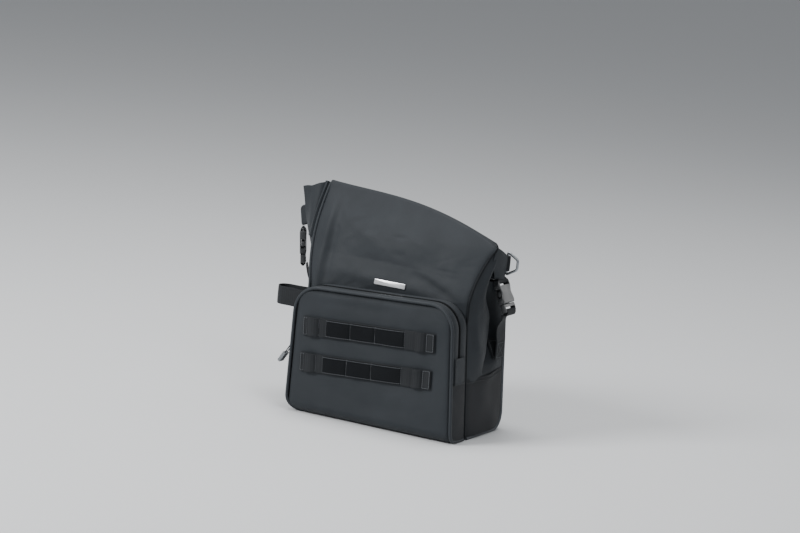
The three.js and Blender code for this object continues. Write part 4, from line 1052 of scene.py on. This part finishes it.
def metal_finish(name, colour, roughness, length):
    """Metal with fine scratches along X: they vary its roughness and dent it a little."""
    finish, tree, shader = new_finish(name, {"Metallic": 1})
    scratches = use_group(tree, scratches_group, {"Length": length})["Mask"]
    feed(tree, shader, {
        "Base Color": mixed_colour(tree, scratches, [0.82 * c for c in colour], colour),
        "Roughness": remap(tree, scratches, to_range=(roughness - 0.1, roughness + 0.14)),
        "Normal": relief(tree, scratches, 0.12, 0.0001),
    })
    return finish


gunmetal = metal_finish("gunmetal_plating", (0.36, 0.38, 0.40), 0.3, 1)
wire_bend = 0.003
wire = []
corners = [(bar_x, 0.214), (0.1398, 0.2225), (0.1398, 0.2355), (bar_x, 0.244)]
corners = [Vector((x, bar_y, z)) for x, z in corners]
for before, here, after in zip(corners[-1:] + corners, corners, corners[1:] + corners):
    start = here + (before - here).normalized() * wire_bend
    end = here + (after - here).normalized() * wire_bend
    for t in evenly(0, 1, 8):
        wire.append(start * (1 - t) ** 2 + here * 2 * t * (1 - t) + end * t * t)
side_ring = tube_along("side_ring", wire, 0.00175, sides=20, closed=True)
dress(side_ring, gunmetal, "gunmetal", "ring", "side_ring")

# ---------------------------------------------------------------- side-release buckles
# Moulded black nylon buckles for 25 mm webbing: a housing that hangs from the roll's tab, and a stem
# with two springy arms that click into its sides. Moulding leaves small radii on every edge.


def flatten():
    """Edit mode: joins the triangles of flat faces."""
    bpy.ops.mesh.dissolve_limited(angle_limit=math.radians(3))


def softened(name, node, size):
    """A copy of a node with its edges rounded as a moulding's are."""
    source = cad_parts[node]
    mesh = source.data.copy()
    mesh.transform(source.matrix_world)
    piece = new_piece(name, mesh)
    edit(piece, join_doubles, flatten, face_out, unwrap)
    round_edges(piece, size, angle=24, segments=3)
    return piece


nylon, tree, shader = new_finish("black_nylon", {
    "Base Color": (0.026, 0.028, 0.030, 1), "Coat Weight": 0.3, "Coat Roughness": 0.3,
})
feed(tree, shader, {
    "Roughness": remap(tree, speckle(tree, 90), to_range=(0.26, 0.46)),
    "Normal": relief(tree, speckle(tree, 1500), 0.25, 0.0001),
})

# Where each buckle's own frame stands, with its bars along Y and its stem below.
buckle_places = {
    "low": Matrix((
        (0.913545, 0, -0.406737, 0.134112), (0, 1, 0, 0.031),
        (0.406737, 0, 0.913545, 0.178123), (0, 0, 0, 1),
    )),
    "tall": Matrix((
        (-0.876644, 0.468862, -0.107999, -0.177598), (-0.471621, -0.881802, 0, 0.0305),
        (-0.095234, 0.050935, 0.994151, 0.192584), (0, 0, 0, 1),
    )),
}
strap_width = 0.0243


def fold_path(bar, towards, reach):
    """Webbing round a bar of a buckle, in the buckle's own frame; its two legs are sewn together."""
    leg = [(-0.00095, reach), (-0.00095, 0.0047), (-0.0029, 0.0022)]
    chosen = [Vector((x, 0, bar + towards * z)) for x, z in leg]
    for angle in evenly(0, math.pi, 8):
        x = -0.0030 * math.copysign(abs(math.cos(angle)) ** 0.7, math.cos(angle))
        chosen.append(Vector((x, 0, bar - towards * 0.0030 * math.sin(angle) ** 0.7)))
    chosen += [Vector((-p.x, 0, p.z)) for p in reversed(chosen[:3])]
    return smooth_path(chosen, 60)


for end, place in buckle_places.items():
    for moulding, node, body, size in (
        ("buckle_housing", "buckle_housing", "shell", 0.0006),
        ("buckle_stem", "buckle_stem", f"stem_{end}_end", 0.0005),
        ("front_latch_arm", "latch_arm_front", f"arm_front_{end}_end", 0.0005),
        ("rear_latch_arm", "latch_arm_rear", f"arm_rear_{end}_end", 0.0005),
    ):
        piece = softened(f"{end}_end_{moulding}", f"{node}_{end}_end", size)
        dress(piece, nylon, "moulding", body, f"{node}_{end}_end", smooth=35)
    for part, node, body, bar, towards, reach in (
        ("link", "buckle_link", "shell", 0.03, 1, 0.006),
        ("fold", "strap_fold", f"stem_{end}_end", -0.0107, -1, 0.0055),
    ):
        path = fold_path(bar, towards, reach)
        ways = [heading(path, i).cross(to_back) * towards for i in range(len(path))]
        facing = [place.to_3x3() @ way.normalized() for way in ways]
        path = [place @ p for p in path]
        loop = lay_webbing(f"{end}_end_buckle_{part}", path, facing, strap_width, thickness=0.0014)
        dress(loop, webbing_cloth, "webbing", body, f"{node}_{end}_end")

# ---------------------------------------------------------------- side straps
# From each stem a strap runs down beside the gusset to a square of the same webbing, sewn to the
# gusset, and is stitched to it with a box and a cross.
anchor_y, anchor_size = 0.0457, 0.025
# For each end: the way out, the gusset, the anchor's height, the strap's bows, where it lies in the
# stem, and the way it faces there.
strap_routes = {
    "low": (1, low_gusset_shape, 0.112, (-0.0044, -0.0036, -0.0012), -0.0058, (1, 0, 0)),
    "tall": (-1, tall_gusset_shape, 0.104, (0.0073, 0.0086, 0.0041), -0.0049, (-0.882948, -0.469472, 0)),
}
for end, (out, shape, anchor_z, bows, inner, start_facing) in strap_routes.items():
    place, outward = buckle_places[end], Vector((out, 0, 0))
    spots = [(a, anchor_z + h) for a in (0.62, 0.69, 0.76, 0.82, 0.86) for h in (-0.0125, 0, 0.0125)]
    face = out * max(out * shape(*spot).x for spot in spots)
    high = place @ Vector((inner, 0, -0.01505))
    low = Vector((face + out * 0.0038, anchor_y, anchor_z + anchor_size / 2))
    chosen = [high]
    for share, bow in zip((0.3, 0.6, 0.85), bows):
        chosen.append(high.lerp(low, share) + outward * bow)
    chosen += [low - Vector((0, 0, down)) for down in (0, 0.008, 0.017, anchor_size)]
    path = [place @ Vector((inner, 0, -0.0137))] + smooth_path(chosen, 80)
    facing = [Vector(start_facing).lerp(outward, ease(18, 62, i)) for i in range(len(path))]
    strap = lay_webbing(f"{end}_end_side_strap", path, facing, strap_width)
    dress(strap, webbing_cloth, "webbing", "shell", f"side_strap_{end}_end")

    def anchor_point(across, up):
        """The square follows the gusset, drawn a little towards the strap."""
        point = shape(mix(0.66, 0.875, across), anchor_z + (up - 0.5) * anchor_size)
        point.x += 0.2 * (face + out * 0.0002 - point.x) + out * 0.0011
        return point
    square = (anchor_size, anchor_size)
    anchor = lay_cloth(f"{end}_end_strap_anchor", (24, 20), anchor_point, square, 0.0014, 0, edge=0.0004)
    dress(anchor, webbing_cloth, "webbing", "shell", f"strap_anchor_{end}_end")
    front, rear = anchor_y - 0.0095, anchor_y + 0.0095
    foot, head = anchor_z - 0.0105, anchor_z + 0.0095
    sewn_x = low.x + out * 0.0009
    lines = box_seams(sewn_x, outward, front, rear, foot, head)
    lines.append(([Vector((sewn_x, rear, head)), Vector((sewn_x, front, foot))], outward))
    rim = [(0.5, 0.9), (0.3, 0.9), (0.08, 0.9), (0.08, 0.5), (0.08, 0.1), (0.3, 0.1), (0.5, 0.1)]
    lines.append(([anchor_point(a, u) + outward * 0.0009 for a, u in rim], Vector((out, -0.3, 0))))
    sew(f"{end}_end_strap_stitches", lines, "shell", finish=webbing_thread)

# ---------------------------------------------------------------- mounting loops
# A wide loop of webbing is sewn into the tall end's gusset. Two flat ones run up the back, each sewn
# down at its ends and its middle. The bag is tied on by them.
loop_width, loop_z, loop_radius = 0.0247, 0.142, 0.012
chosen = [(-0.1345, -0.029), (-0.15, -0.0292)]
for angle in evenly(0, math.pi, 12):
    chosen.append((-0.1695 - loop_radius * math.sin(angle), -0.017 - loop_radius * math.cos(angle)))
chosen += [(-0.15, -0.0048), (-0.1345, -0.005)]
path = smooth_path([Vector((x, y, loop_z)) for x, y in chosen], 90)
facing = [heading(path, i).cross(Vector((0, 0, -1))) for i in range(len(path))]
path = [p + Vector((0, 0, 0.0008 * drift(p.x, p.y, 0, 0.03, 4))) for p in path]
mount_loop = lay_webbing("mount_loop", path, facing, loop_width)
dress(mount_loop, webbing_cloth, "webbing", "shell", "mount_loop")
for end, x in (("tall", -0.06), ("low", 0.06)):
    path = []
    for share in evenly(0, 1, 56):
        lift = 0.0022 * hump(2 * share % 1) ** 0.6
        path.append(Vector((x, 0.0761 + lift, mix(0.092, 0.148, share))))
    loop = lay_webbing(f"{end}_end_back_loop", path, to_back, loop_width)
    dress(loop, webbing_cloth, "webbing", "shell", f"back_loop_{end}_end")
    lines = []
    for z in (0.0928, 0.1192, 0.1208, 0.1472):
        lines.append(([Vector((x - 0.011, 0.0772, z)), Vector((x + 0.011, 0.0772, z))], to_back))
    sew(f"{end}_end_back_loop_stitches", lines, "shell", finish=webbing_thread)

# ---------------------------------------------------------------- front of the pocket
# One padded panel makes the pocket's front and wraps under it to the base. It puffs out a little
# between its seams. The upper part folds forward when the pocket is open, but this piece is built
# closed and does not follow it.
tall_top, low_top = 0.170, 0.1815
curl, top_corner, foot_corner, front_inset = 0.016, 0.036, 0.022, 0.0028
front_inside = 0.0748


def pocket_top(x):
    return mix(tall_top, low_top, (x + 0.125) / 0.234)


def corner_cut(radius, depth):
    """How far a rounded corner has cut in at a depth from the straight edge."""
    if depth >= radius:
        return 0.0
    return radius - math.sqrt(max(radius ** 2 - (radius - max(depth, 0)) ** 2, 0))


def pocket_limits(h):
    """The two ends of a level of the pocket's front; h is 0 where the front starts and 1 at its top."""
    tall_z = mix(curl, tall_top - front_inset, h)
    low_z = mix(curl, low_top - front_inset, h)
    tall = -0.125 + front_inset + corner_cut(top_corner - front_inset, tall_top - front_inset - tall_z)
    tall += corner_cut(foot_corner - front_inset, tall_z - front_inset)
    low = 0.125 - 0.016 * (low_z - 0.001) / 0.1805 - front_inset
    return tall, low - corner_cut(top_corner - front_inset, low_top - front_inset - low_z)


# The pocket's long soft folds, as for the wall.
pocket_folds = (
    (-0.1, 0.152, 0.06, 0.16, 0.006, 0.0011),
    (-0.02, 0.05, 0.1, 0.042, 0.012, -0.0012),
    (-0.09, 0.045, -0.01, 0.03, 0.009, 0.0009),
    (0.0, 0.165, 0.09, 0.15, 0.008, -0.0009),
)
pocket_creases = fine_creases(11, 14, (-0.11, 0.09), (0.03, 0.165))


def pocket_face(x, z):
    """Y of the pocket's front, well above its curled foot."""
    edges = (x + 0.122, 0.122 - 0.0886 * z - x, pocket_top(x) - 0.004 - z)
    belly = math.prod(1 - math.exp(-max(edge, 0) / 0.022) for edge in edges)
    rim = max(min(edges), 0)
    pull = math.exp(-rim / 0.0035)
    y = -front_inside - 0.0024 * belly + 0.0008 * pull + 0.0042 * math.exp(-rim / 0.0018)
    y -= (1 - pull) * (0.0013 * drift(x, 1, z, 0.05, 31) + 0.0006 * drift(x, 1, z, 0.02, 8))
    y += sum(crease(x, z, *fold) for fold in pocket_folds)
    return y + 0.8 * (1 - pull) * sum(crease(x, z, *fold) for fold in pocket_creases)


levels = [("flat", share) for share in evenly(0, 1, 8)[:-1]]
levels += [("curl", share) for share in evenly(0, 1, 14)[:-1]]
levels += [("face", share) for share in evenly(0, 0.78, 52)[:-1]]
levels += [("face", 0.78 + 0.22 * math.sin(angle)) for angle in evenly(0, math.pi / 2, 14)]


def pocket_front_point(across, up):
    """From the base forward, round the curled foot and up the face."""
    kind, share = levels[round(up * (len(levels) - 1))]
    if kind == "face":
        x = mix(*pocket_limits(share), across)
        z = mix(curl, pocket_top(x) - front_inset, share)
        return Vector((x, pocket_face(x, z), z))
    if kind == "flat":
        y, z = mix(-0.0368, -0.059, share), 0.0006
    else:
        angle = math.pi / 2 * share
        y, z = -0.059 - 0.0158 * math.sin(angle), curl - 0.0154 * math.cos(angle)
    tall = -0.125 + front_inset + corner_cut(foot_corner - front_inset, z - front_inset)
    x = mix(tall, 0.1222 - 0.0886 * z, across)
    if kind == "curl":
        y += (pocket_face(x, curl) + front_inside) * math.sin(angle)
    return Vector((x, y, z))


pocket_front = lay_cloth(
    "pocket_front", (110, len(levels) - 1), pocket_front_point, (0.25, 0.21), 0.0022, -1
)
over_fold = ("shell", "pocket_door", (0, -0.073, 0.048), (0, -0.073, 0.062))
dress(pocket_front, wall_cloth, "shell_fabric", over_fold, "pocket_front_lower", "pocket_front_upper")

# ---------------------------------------------------------------- piping of the pocket
# The same covered cord as on the walls is sewn in round the pocket's front. It runs up one side, over
# the top and down the other side, and both its ends turn back under the foot.
pocket_corners = [Vector(c) for c in ((-0.125, 0.001), (0.125, 0.001), (0.109, low_top), (-0.125, tall_top))]
pocket_radii = (foot_corner, 0.003, top_corner, top_corner)


def recede(z, radius=curl):
    """How far the curled foot of the pocket lies behind its front face."""
    return 0.0 if z >= radius else radius - math.sqrt(max(radius ** 2 - (radius - z) ** 2, 0))


def run_up_and_over(inset, depth):
    """The outline from the foot of the low end, over the top, to the foot of the tall end."""
    steps = 14
    outline = rounded_outline(pocket_corners, pocket_radii, inset, steps)
    run = outline[2 * steps + 1:] + outline[:steps + 1]
    points = []
    for a, b in zip(run, run[1:]):
        pieces = max(1, round((b - a).length / 0.003))
        points += [a.lerp(b, share) for share in evenly(0, 1, pieces)[:-1]]
    points.append(run[-1])
    return [Vector((p.x, depth + recede(p.y - 0.0006), p.y)) for p in points]


cord_run = [Vector((0.1238, y, 0.0022)) for y in (-0.0368, -0.045, -0.053)]
cord_run += [p for p in run_up_and_over(0.0012, -0.0738) if p.y < -0.0575 or p.x < 0]
cord_run += [Vector((cord_run[-1].x + 0.001, y, 0.0024)) for y in (-0.050, -0.042)]
pocket_piping = tube_along("pocket_piping", cord_run, 0.0022)
dress(pocket_piping, piping_cloth, "piping", over_fold, "pocket_piping_tall_end", "pocket_piping_low_end",
      "pocket_piping_upper")

# ---------------------------------------------------------------- sides of the pocket and zip
# A narrow gusset joins the pocket's front to the bag. Over the top and down to 80 mm at both sides
# it is split by a coil zip, whose black tape shows on both sides of the teeth.


def strip(name, points, first_y, last_y, thickness, finish, slot, body, *nodes,
          puff=0.0, reach=0.0, columns=12):
    """A strip that follows the outline, from one depth to another.

    Away from the tall side, where the slider runs, reach brings its edge closer to the zip.
    """
    def place(across, up):
        i = round(up * (len(points) - 1))
        here, way = points[i], heading(points, i)
        out = Vector((way.z, 0, -way.x)).normalized()
        start = first_y + recede(here.z, 0.012) if first_y < -0.06 else first_y
        swell = puff * hump(across) + 0.0004 * drift(here.x, across * 0.05, here.z, 0.03, 17)
        zip_side = across if reach > 0 else 1 - across
        y = mix(start, last_y, across) + reach * ease(-0.118, -0.09, here.x) * zip_side
        return Vector((here.x, y, here.z)) + out * swell

    grid, size = (columns, len(points) - 1), (last_y - first_y, path_length(points))
    dress(lay_cloth(name, grid, place, size, thickness, -1), finish, slot, body, *nodes)


def crest(points):
    """The index of a run's highest point."""
    return max(range(len(points)), key=lambda i: points[i].z)


def between(points, low, high):
    """The stretch of a run that lies between two heights, cut exactly at both."""
    kept = []
    for a, b in zip(points, points[1:]):
        if low <= a.z <= high:
            kept.append(a)
        for level in (low, high):
            if (a.z - level) * (b.z - level) < 0:
                kept.append(a.lerp(b, (level - a.z) / (b.z - a.z)))
    if low <= points[-1].z <= high:
        kept.append(points[-1])
    return kept


front_edge, rear_edge, side_thickness = -0.0712, -0.0363, 0.0022
outline_run = run_up_and_over(0.0002, 0)
low_side = between(outline_run[:crest(outline_run)], 0.0038, 0.0799)
tall_side = between(outline_run[crest(outline_run):], 0.0018, 0.0799)
zip_run = between(outline_run, 0.0801, 1)
for label, side_run in (("low", low_side), ("tall", tall_side)):
    strip(f"pocket_{label}_end_side", side_run, front_edge, rear_edge, side_thickness, band_cloth,
          "shell_fabric", "shell", f"pocket_gusset_{label}_end", puff=0.0009)
for label, first_y, last_y, body, reach in (
    ("front", front_edge, -0.0603, "pocket_door", 0.0023), ("rear", -0.0497, rear_edge, "shell", -0.0023),
):
    strip(f"zip_{label}_strip", zip_run, first_y, last_y, side_thickness, wall_cloth,
          "shell_fabric", body, f"zip_tape_{label}", puff=0.0012, reach=reach)

# A short tab of the wall's cloth is sewn over the zip's lower end at the low side.
outer_run = run_up_and_over(-0.0018, 0)
tab_run = between(outer_run[:crest(outer_run)], 0.0775, 0.1125)
strip("zip_end_tab", tab_run, -0.0690, -0.0400, 0.0009, wall_cloth, "shell_fabric", "shell", puff=0.0006)
seam = zip((tab_run[0], tab_run[len(tab_run) // 2], tab_run[-1]), (0.0016, 0, -0.0016))
seam = [Vector((p.x + 0.0003, 0, p.z + lift)) for p, lift in seam]
box = [p + Vector((0, -0.0675, 0)) for p in seam] + [p + Vector((0, -0.0415, 0)) for p in seam[::-1]]
sew("zip_end_tab_stitches", [(box + box[:1], to_low_end)], "shell")

tape_cloth = cloth_finish(
    "zip_tape_cloth", (0.010, 0.011, 0.012), (0.026, 0.028, 0.031), 0.0008, 0.75, 0.4
)
for label, first_y, last_y, body in (
    ("front", -0.0612, -0.0571, "pocket_door"), ("rear", -0.0529, -0.0488, "shell"),
):
    strip(f"zip_tape_{label}_edge", zip_run, first_y, last_y, 0.0012, tape_cloth, "zip_tape", body, columns=4)

# Each tooth is a small block that tapers outwards, a little to one side and the next to the other.
teeth = bmesh.new()
run = even_path([p + Vector((0, -0.055, 0)) for p in zip_run], 300)
for i, here in enumerate(run[:-1]):
    along = (run[i + 1] - here).normalized()
    out = Vector((along.z, 0, -along.x))
    skew = 0.0004 * (1 if i % 2 else -1)
    rings = []
    for up, half, thick in ((0.0002, 0.0021, 0.0004), (0.0013, 0.0017, 0.00025)):
        corners = ((-half, -thick), (half, -thick), (half, thick), (-half, thick))
        rings.append([here + out * up + Vector((0, y + skew, 0)) + along * z for y, z in corners])
    add_skin(teeth, rings)
coil = cloth_finish(
    "zip_coil", (0.006, 0.0068, 0.0078), (0.014, 0.0158, 0.018), 0.0007, 0.62, 0.2, sheen=0, shine=0.16
)
dress(new_piece("zip_teeth", teeth), coil, "moulding", "shell", "zip_chain", smooth=30)

# The slider is cast metal. A short cord through its lug carries a ribbed tab of pale grey rubber.
slider = softened("zip_slider", "zip_slider", 0.0005)
dress(slider, gunmetal, "gunmetal", "zip_slider", "zip_slider", smooth=35)
cord_cloth = cloth_finish("cord_cloth", (0.018, 0.020, 0.022), (0.050, 0.054, 0.060), 0.0006, 0.6, 0.5)
pull_cord = softened("pull_cord", "pull_cord", 0.0001)
modify(pull_cord, "SUBSURF", levels=1, render_levels=1)
dress(pull_cord, cord_cloth, "cord", "puller", "pull_cord", smooth=60)
grey_rubber, tree, shader = new_finish("grey_rubber", {"Roughness": 0.62})
rubber_colour = mixed_colour(tree, speckle(tree, 420), (0.13, 0.14, 0.15), (0.21, 0.225, 0.24))
feed(tree, shader, {"Base Color": rubber_colour})
pull_tab = softened("pull_tab", "pull_tab", 0.0004)
dress(pull_tab, grey_rubber, "rubber", "puller", "pull_tab", smooth=40)

# ---------------------------------------------------------------- webbing rows
# Two rows of 25 mm webbing are sewn across the pocket's front, with stitches up and down at the
# ends of each cell. The second cell and the last but one stand off as open loops.
grey_thread = thread_finish("grey_thread", (0.040, 0.044, 0.050), (0.100, 0.108, 0.120))
row_stitches = [0, 0.006, 0.024, 0.035, 0.071, 0.108, 0.152, 0.168, 0.183, 0.195]
row_length, row_width, row_foot, fold_width = 0.195, 0.0248, 0.0008, 0.0246
row_slope = math.atan2(0.0106, row_length)
row_starts = {"upper": 0.1185, "lower": 0.070}


def row_point(height, along, lift, aside):
    """A point on a row: along from its tall end, lift from the pocket, aside up across the row."""
    middle_x, middle_z = -0.106 + along * math.cos(row_slope), height + along * math.sin(row_slope)
    x, z = middle_x - aside * math.sin(row_slope), middle_z + aside * math.cos(row_slope)
    return Vector((x, min(pocket_face(x, z), pocket_face(middle_x, middle_z) + 0.0004) - lift, z))


def row_seam(height, spots):
    """A seam through spots of a row, each with its along, lift and aside."""
    return [row_point(height, *spot) for spot in spots], to_front


def cell_lift(along):
    """The webbing's rise from the pocket: none at a stitch line, most in the open loops."""
    for start, end in zip(row_stitches, row_stitches[1:]):
        if start <= along <= end:
            full = 0.0042 if start in (0.006, 0.168) else 0.0008
            return row_foot + full * hump((along - start) / (end - start)) ** 0.6
    return row_foot


for name, height in row_starts.items():
    def row_place(across, up):
        along = row_length * up
        return row_point(height, along, cell_lift(along), (across - 0.5) * row_width)
    size = (row_width, row_length)
    row = lay_cloth(f"{name}_webbing_row", (12, 390), row_place, size, 0.0014, -1, edge=0.0004)
    dress(row, webbing_cloth, "webbing", "pocket_door", f"webbing_row_{name}")
    for tip, first, last in (("tall", 0.0002, 0.0072), ("low", 0.1832, 0.1948)):
        def tip_place(across, up):
            return row_point(height, mix(first, last, up), 0.0021, (across - 0.5) * fold_width)
        size = (fold_width, last - first)
        fold = lay_cloth(f"{name}_row_{tip}_end_fold", (12, 12), tip_place, size, 0.0012, -1, edge=0.0004)
        dress(fold, webbing_cloth, "webbing", "pocket_door")
    sides = (-0.0112, 0, 0.0112)
    lines = []
    for along in row_stitches[1:-1]:
        lift = 0.0035 if along == 0.006 else 0.0024
        lines.append(row_seam(height, [(along, lift, aside) for aside in sides]))
    for ends in ((0.0012, 0.006), (0.1844, 0.1938)):
        for aside in sides[::2]:
            lines.append(row_seam(height, [(along, 0.0035, aside) for along in ends]))
        for along in ends:
            lines.append(row_seam(height, [(along, 0.0035, aside) for aside in sides]))
    sew(f"{name}_row_stitches", lines, "pocket_door", finish=grey_thread, pitch=0.0026, gauge=0.0005)

# ---------------------------------------------------------------- hook patches
# A strip of black hook fabric covers three cells of each row. It is sewn down at the cells' stitch
# lines and along its edges, and its short stiff hooks stand up all over it.
hook_cloth = cloth_finish(
    "black_hook_cloth", (0.003, 0.0034, 0.004), (0.0105, 0.012, 0.014), 0.0012, 0.9, 0.6, sheen=0, shine=0.14
)
hook_cells = [(0.035, 0.071), (0.071, 0.108), (0.108, 0.152)]
patch_start, patch_end, patch_width = 0.0353, 0.1517, 0.0212
hook_step, hook_jitter, hook_reach = 0.0009, 0.0003, 0.0102


def patch_lift(along, aside):
    """A patch is full in the middle of a cell, and pinched at the stitch lines and along its edges."""
    half = 0.0107
    for start, end in hook_cells:
        if start <= along <= end:
            full = 1 - math.exp(-min(along - start, end - along) / 0.0016)
            rim = 1 - math.exp(-(half - abs(aside)) / 0.0009)
            swell = hump((along - start) / (end - start)) ** 0.5 * math.cos(0.85 * aside / half)
            return 0.0014 + 0.0017 * full * (0.55 + 0.45 * rim) + 0.0012 * swell
    return 0.0014


def add_hook(hooks, root, chance):
    """One hook, a thin three-sided spike that leans a little."""
    lean_x, lean_z = chance.uniform(-0.0005, 0.0005), chance.uniform(-0.0005, 0.0005)
    tip = root + Vector((lean_x, -chance.uniform(0.0006, 0.0011), lean_z))
    spin = chance.uniform(0, 2 * math.pi)
    angles = [spin + arm * 2 * math.pi / 3 for arm in range(3)]
    base = [hooks.verts.new(root + Vector((math.cos(a), 0, math.sin(a))) * 0.00016) for a in angles]
    point = hooks.verts.new(tip)
    for arm in range(3):
        hooks.faces.new((base[arm], base[(arm + 1) % 3], point))
    hooks.faces.new(base[::-1])


for name, height in row_starts.items():
    def patch_place(across, up):
        along, aside = mix(patch_start, patch_end, up), (across - 0.5) * patch_width
        return row_point(height, along, patch_lift(along, aside), aside)
    size = (patch_width, patch_end - patch_start)
    patch = lay_cloth(f"{name}_hook_patch", (24, 234), patch_place, size, 0.0010, -1)
    dress(patch, hook_cloth, "hook_fabric", "pocket_door", f"hook_patch_{name}")
    lines = []
    for along in (0.0359, 0.071, 0.108, 0.1511):
        lines.append(row_seam(height, [(along, 0.0026, aside) for aside in (-0.0104, 0, 0.0104)]))
    for aside in (-hook_reach, hook_reach):
        spots = [(a, patch_lift(a, aside) + 0.0012, aside) for a in evenly(0.0359, 0.1511, 40)]
        lines.append(row_seam(height, spots))
    sew(f"{name}_patch_stitches", lines, "pocket_door", finish=grey_thread, pitch=0.0026, gauge=0.00045)
    chance = random.Random(7 if name == "upper" else 8)
    hooks = bmesh.new()
    for start, end in hook_cells:
        for i in range(round((end - start) / hook_step)):
            for k in range(22):
                along = start + hook_step * i + 0.0007 + chance.uniform(-hook_jitter, hook_jitter)
                aside = mix(-hook_reach, hook_reach, k / 21) + chance.uniform(-hook_jitter, hook_jitter)
                if start + hook_step < along < end - hook_step:
                    root = row_point(height, along, patch_lift(along, aside) - 0.0001, aside)
                    add_hook(hooks, root, chance)
    dress(new_piece(f"{name}_hooks", hooks), hook_cloth, "hook_fabric", "pocket_door", smooth=80)

# ---------------------------------------------------------------- name plate
# A thin blank plate of brushed steel lies on the front wall, above the pocket. Prongs on its back go
# through the cloth and are bent over behind it.
plate_steel = metal_finish("brushed_plate", (0.72, 0.73, 0.745), 0.34, 0.03)
plate_x, plate_z, half_length, half_height = -0.0045, 0.1872, 0.023, 0.0035
up = (plate_z - wall_foot) / (ridge_height(0.5) - below_ridge - wall_foot) * ridge_share
wall_spot = front_wall_point(0.497, up)
wall_above = front_wall_point(0.497, up + 0.03)
plate_lean = math.atan2(wall_above.y - wall_spot.y, wall_above.z - wall_spot.z)
corners = [Vector((x * half_length, z * half_height)) for x, z in ((-1, -1), (1, -1), (1, 1), (-1, 1))]
rings = []
for y, inset in ((0, 0.0002), (-0.0009, 0), (-0.0011, 0.00008), (-0.0012, 0.0003)):
    rings.append([Vector((p.x, y, p.y)) for p in rounded_outline(corners, (0.0008,) * 4, inset, 6)])
name_plate = skin("name_plate", rings)
name_plate.matrix_world = (
    Matrix.Translation((plate_x, wall_spot.y - 0.0001, wall_spot.z)) @ Matrix.Rotation(-plate_lean, 4, "X")
)
dress(name_plate, plate_steel, "plate", "shell", "name_plate", smooth=30)
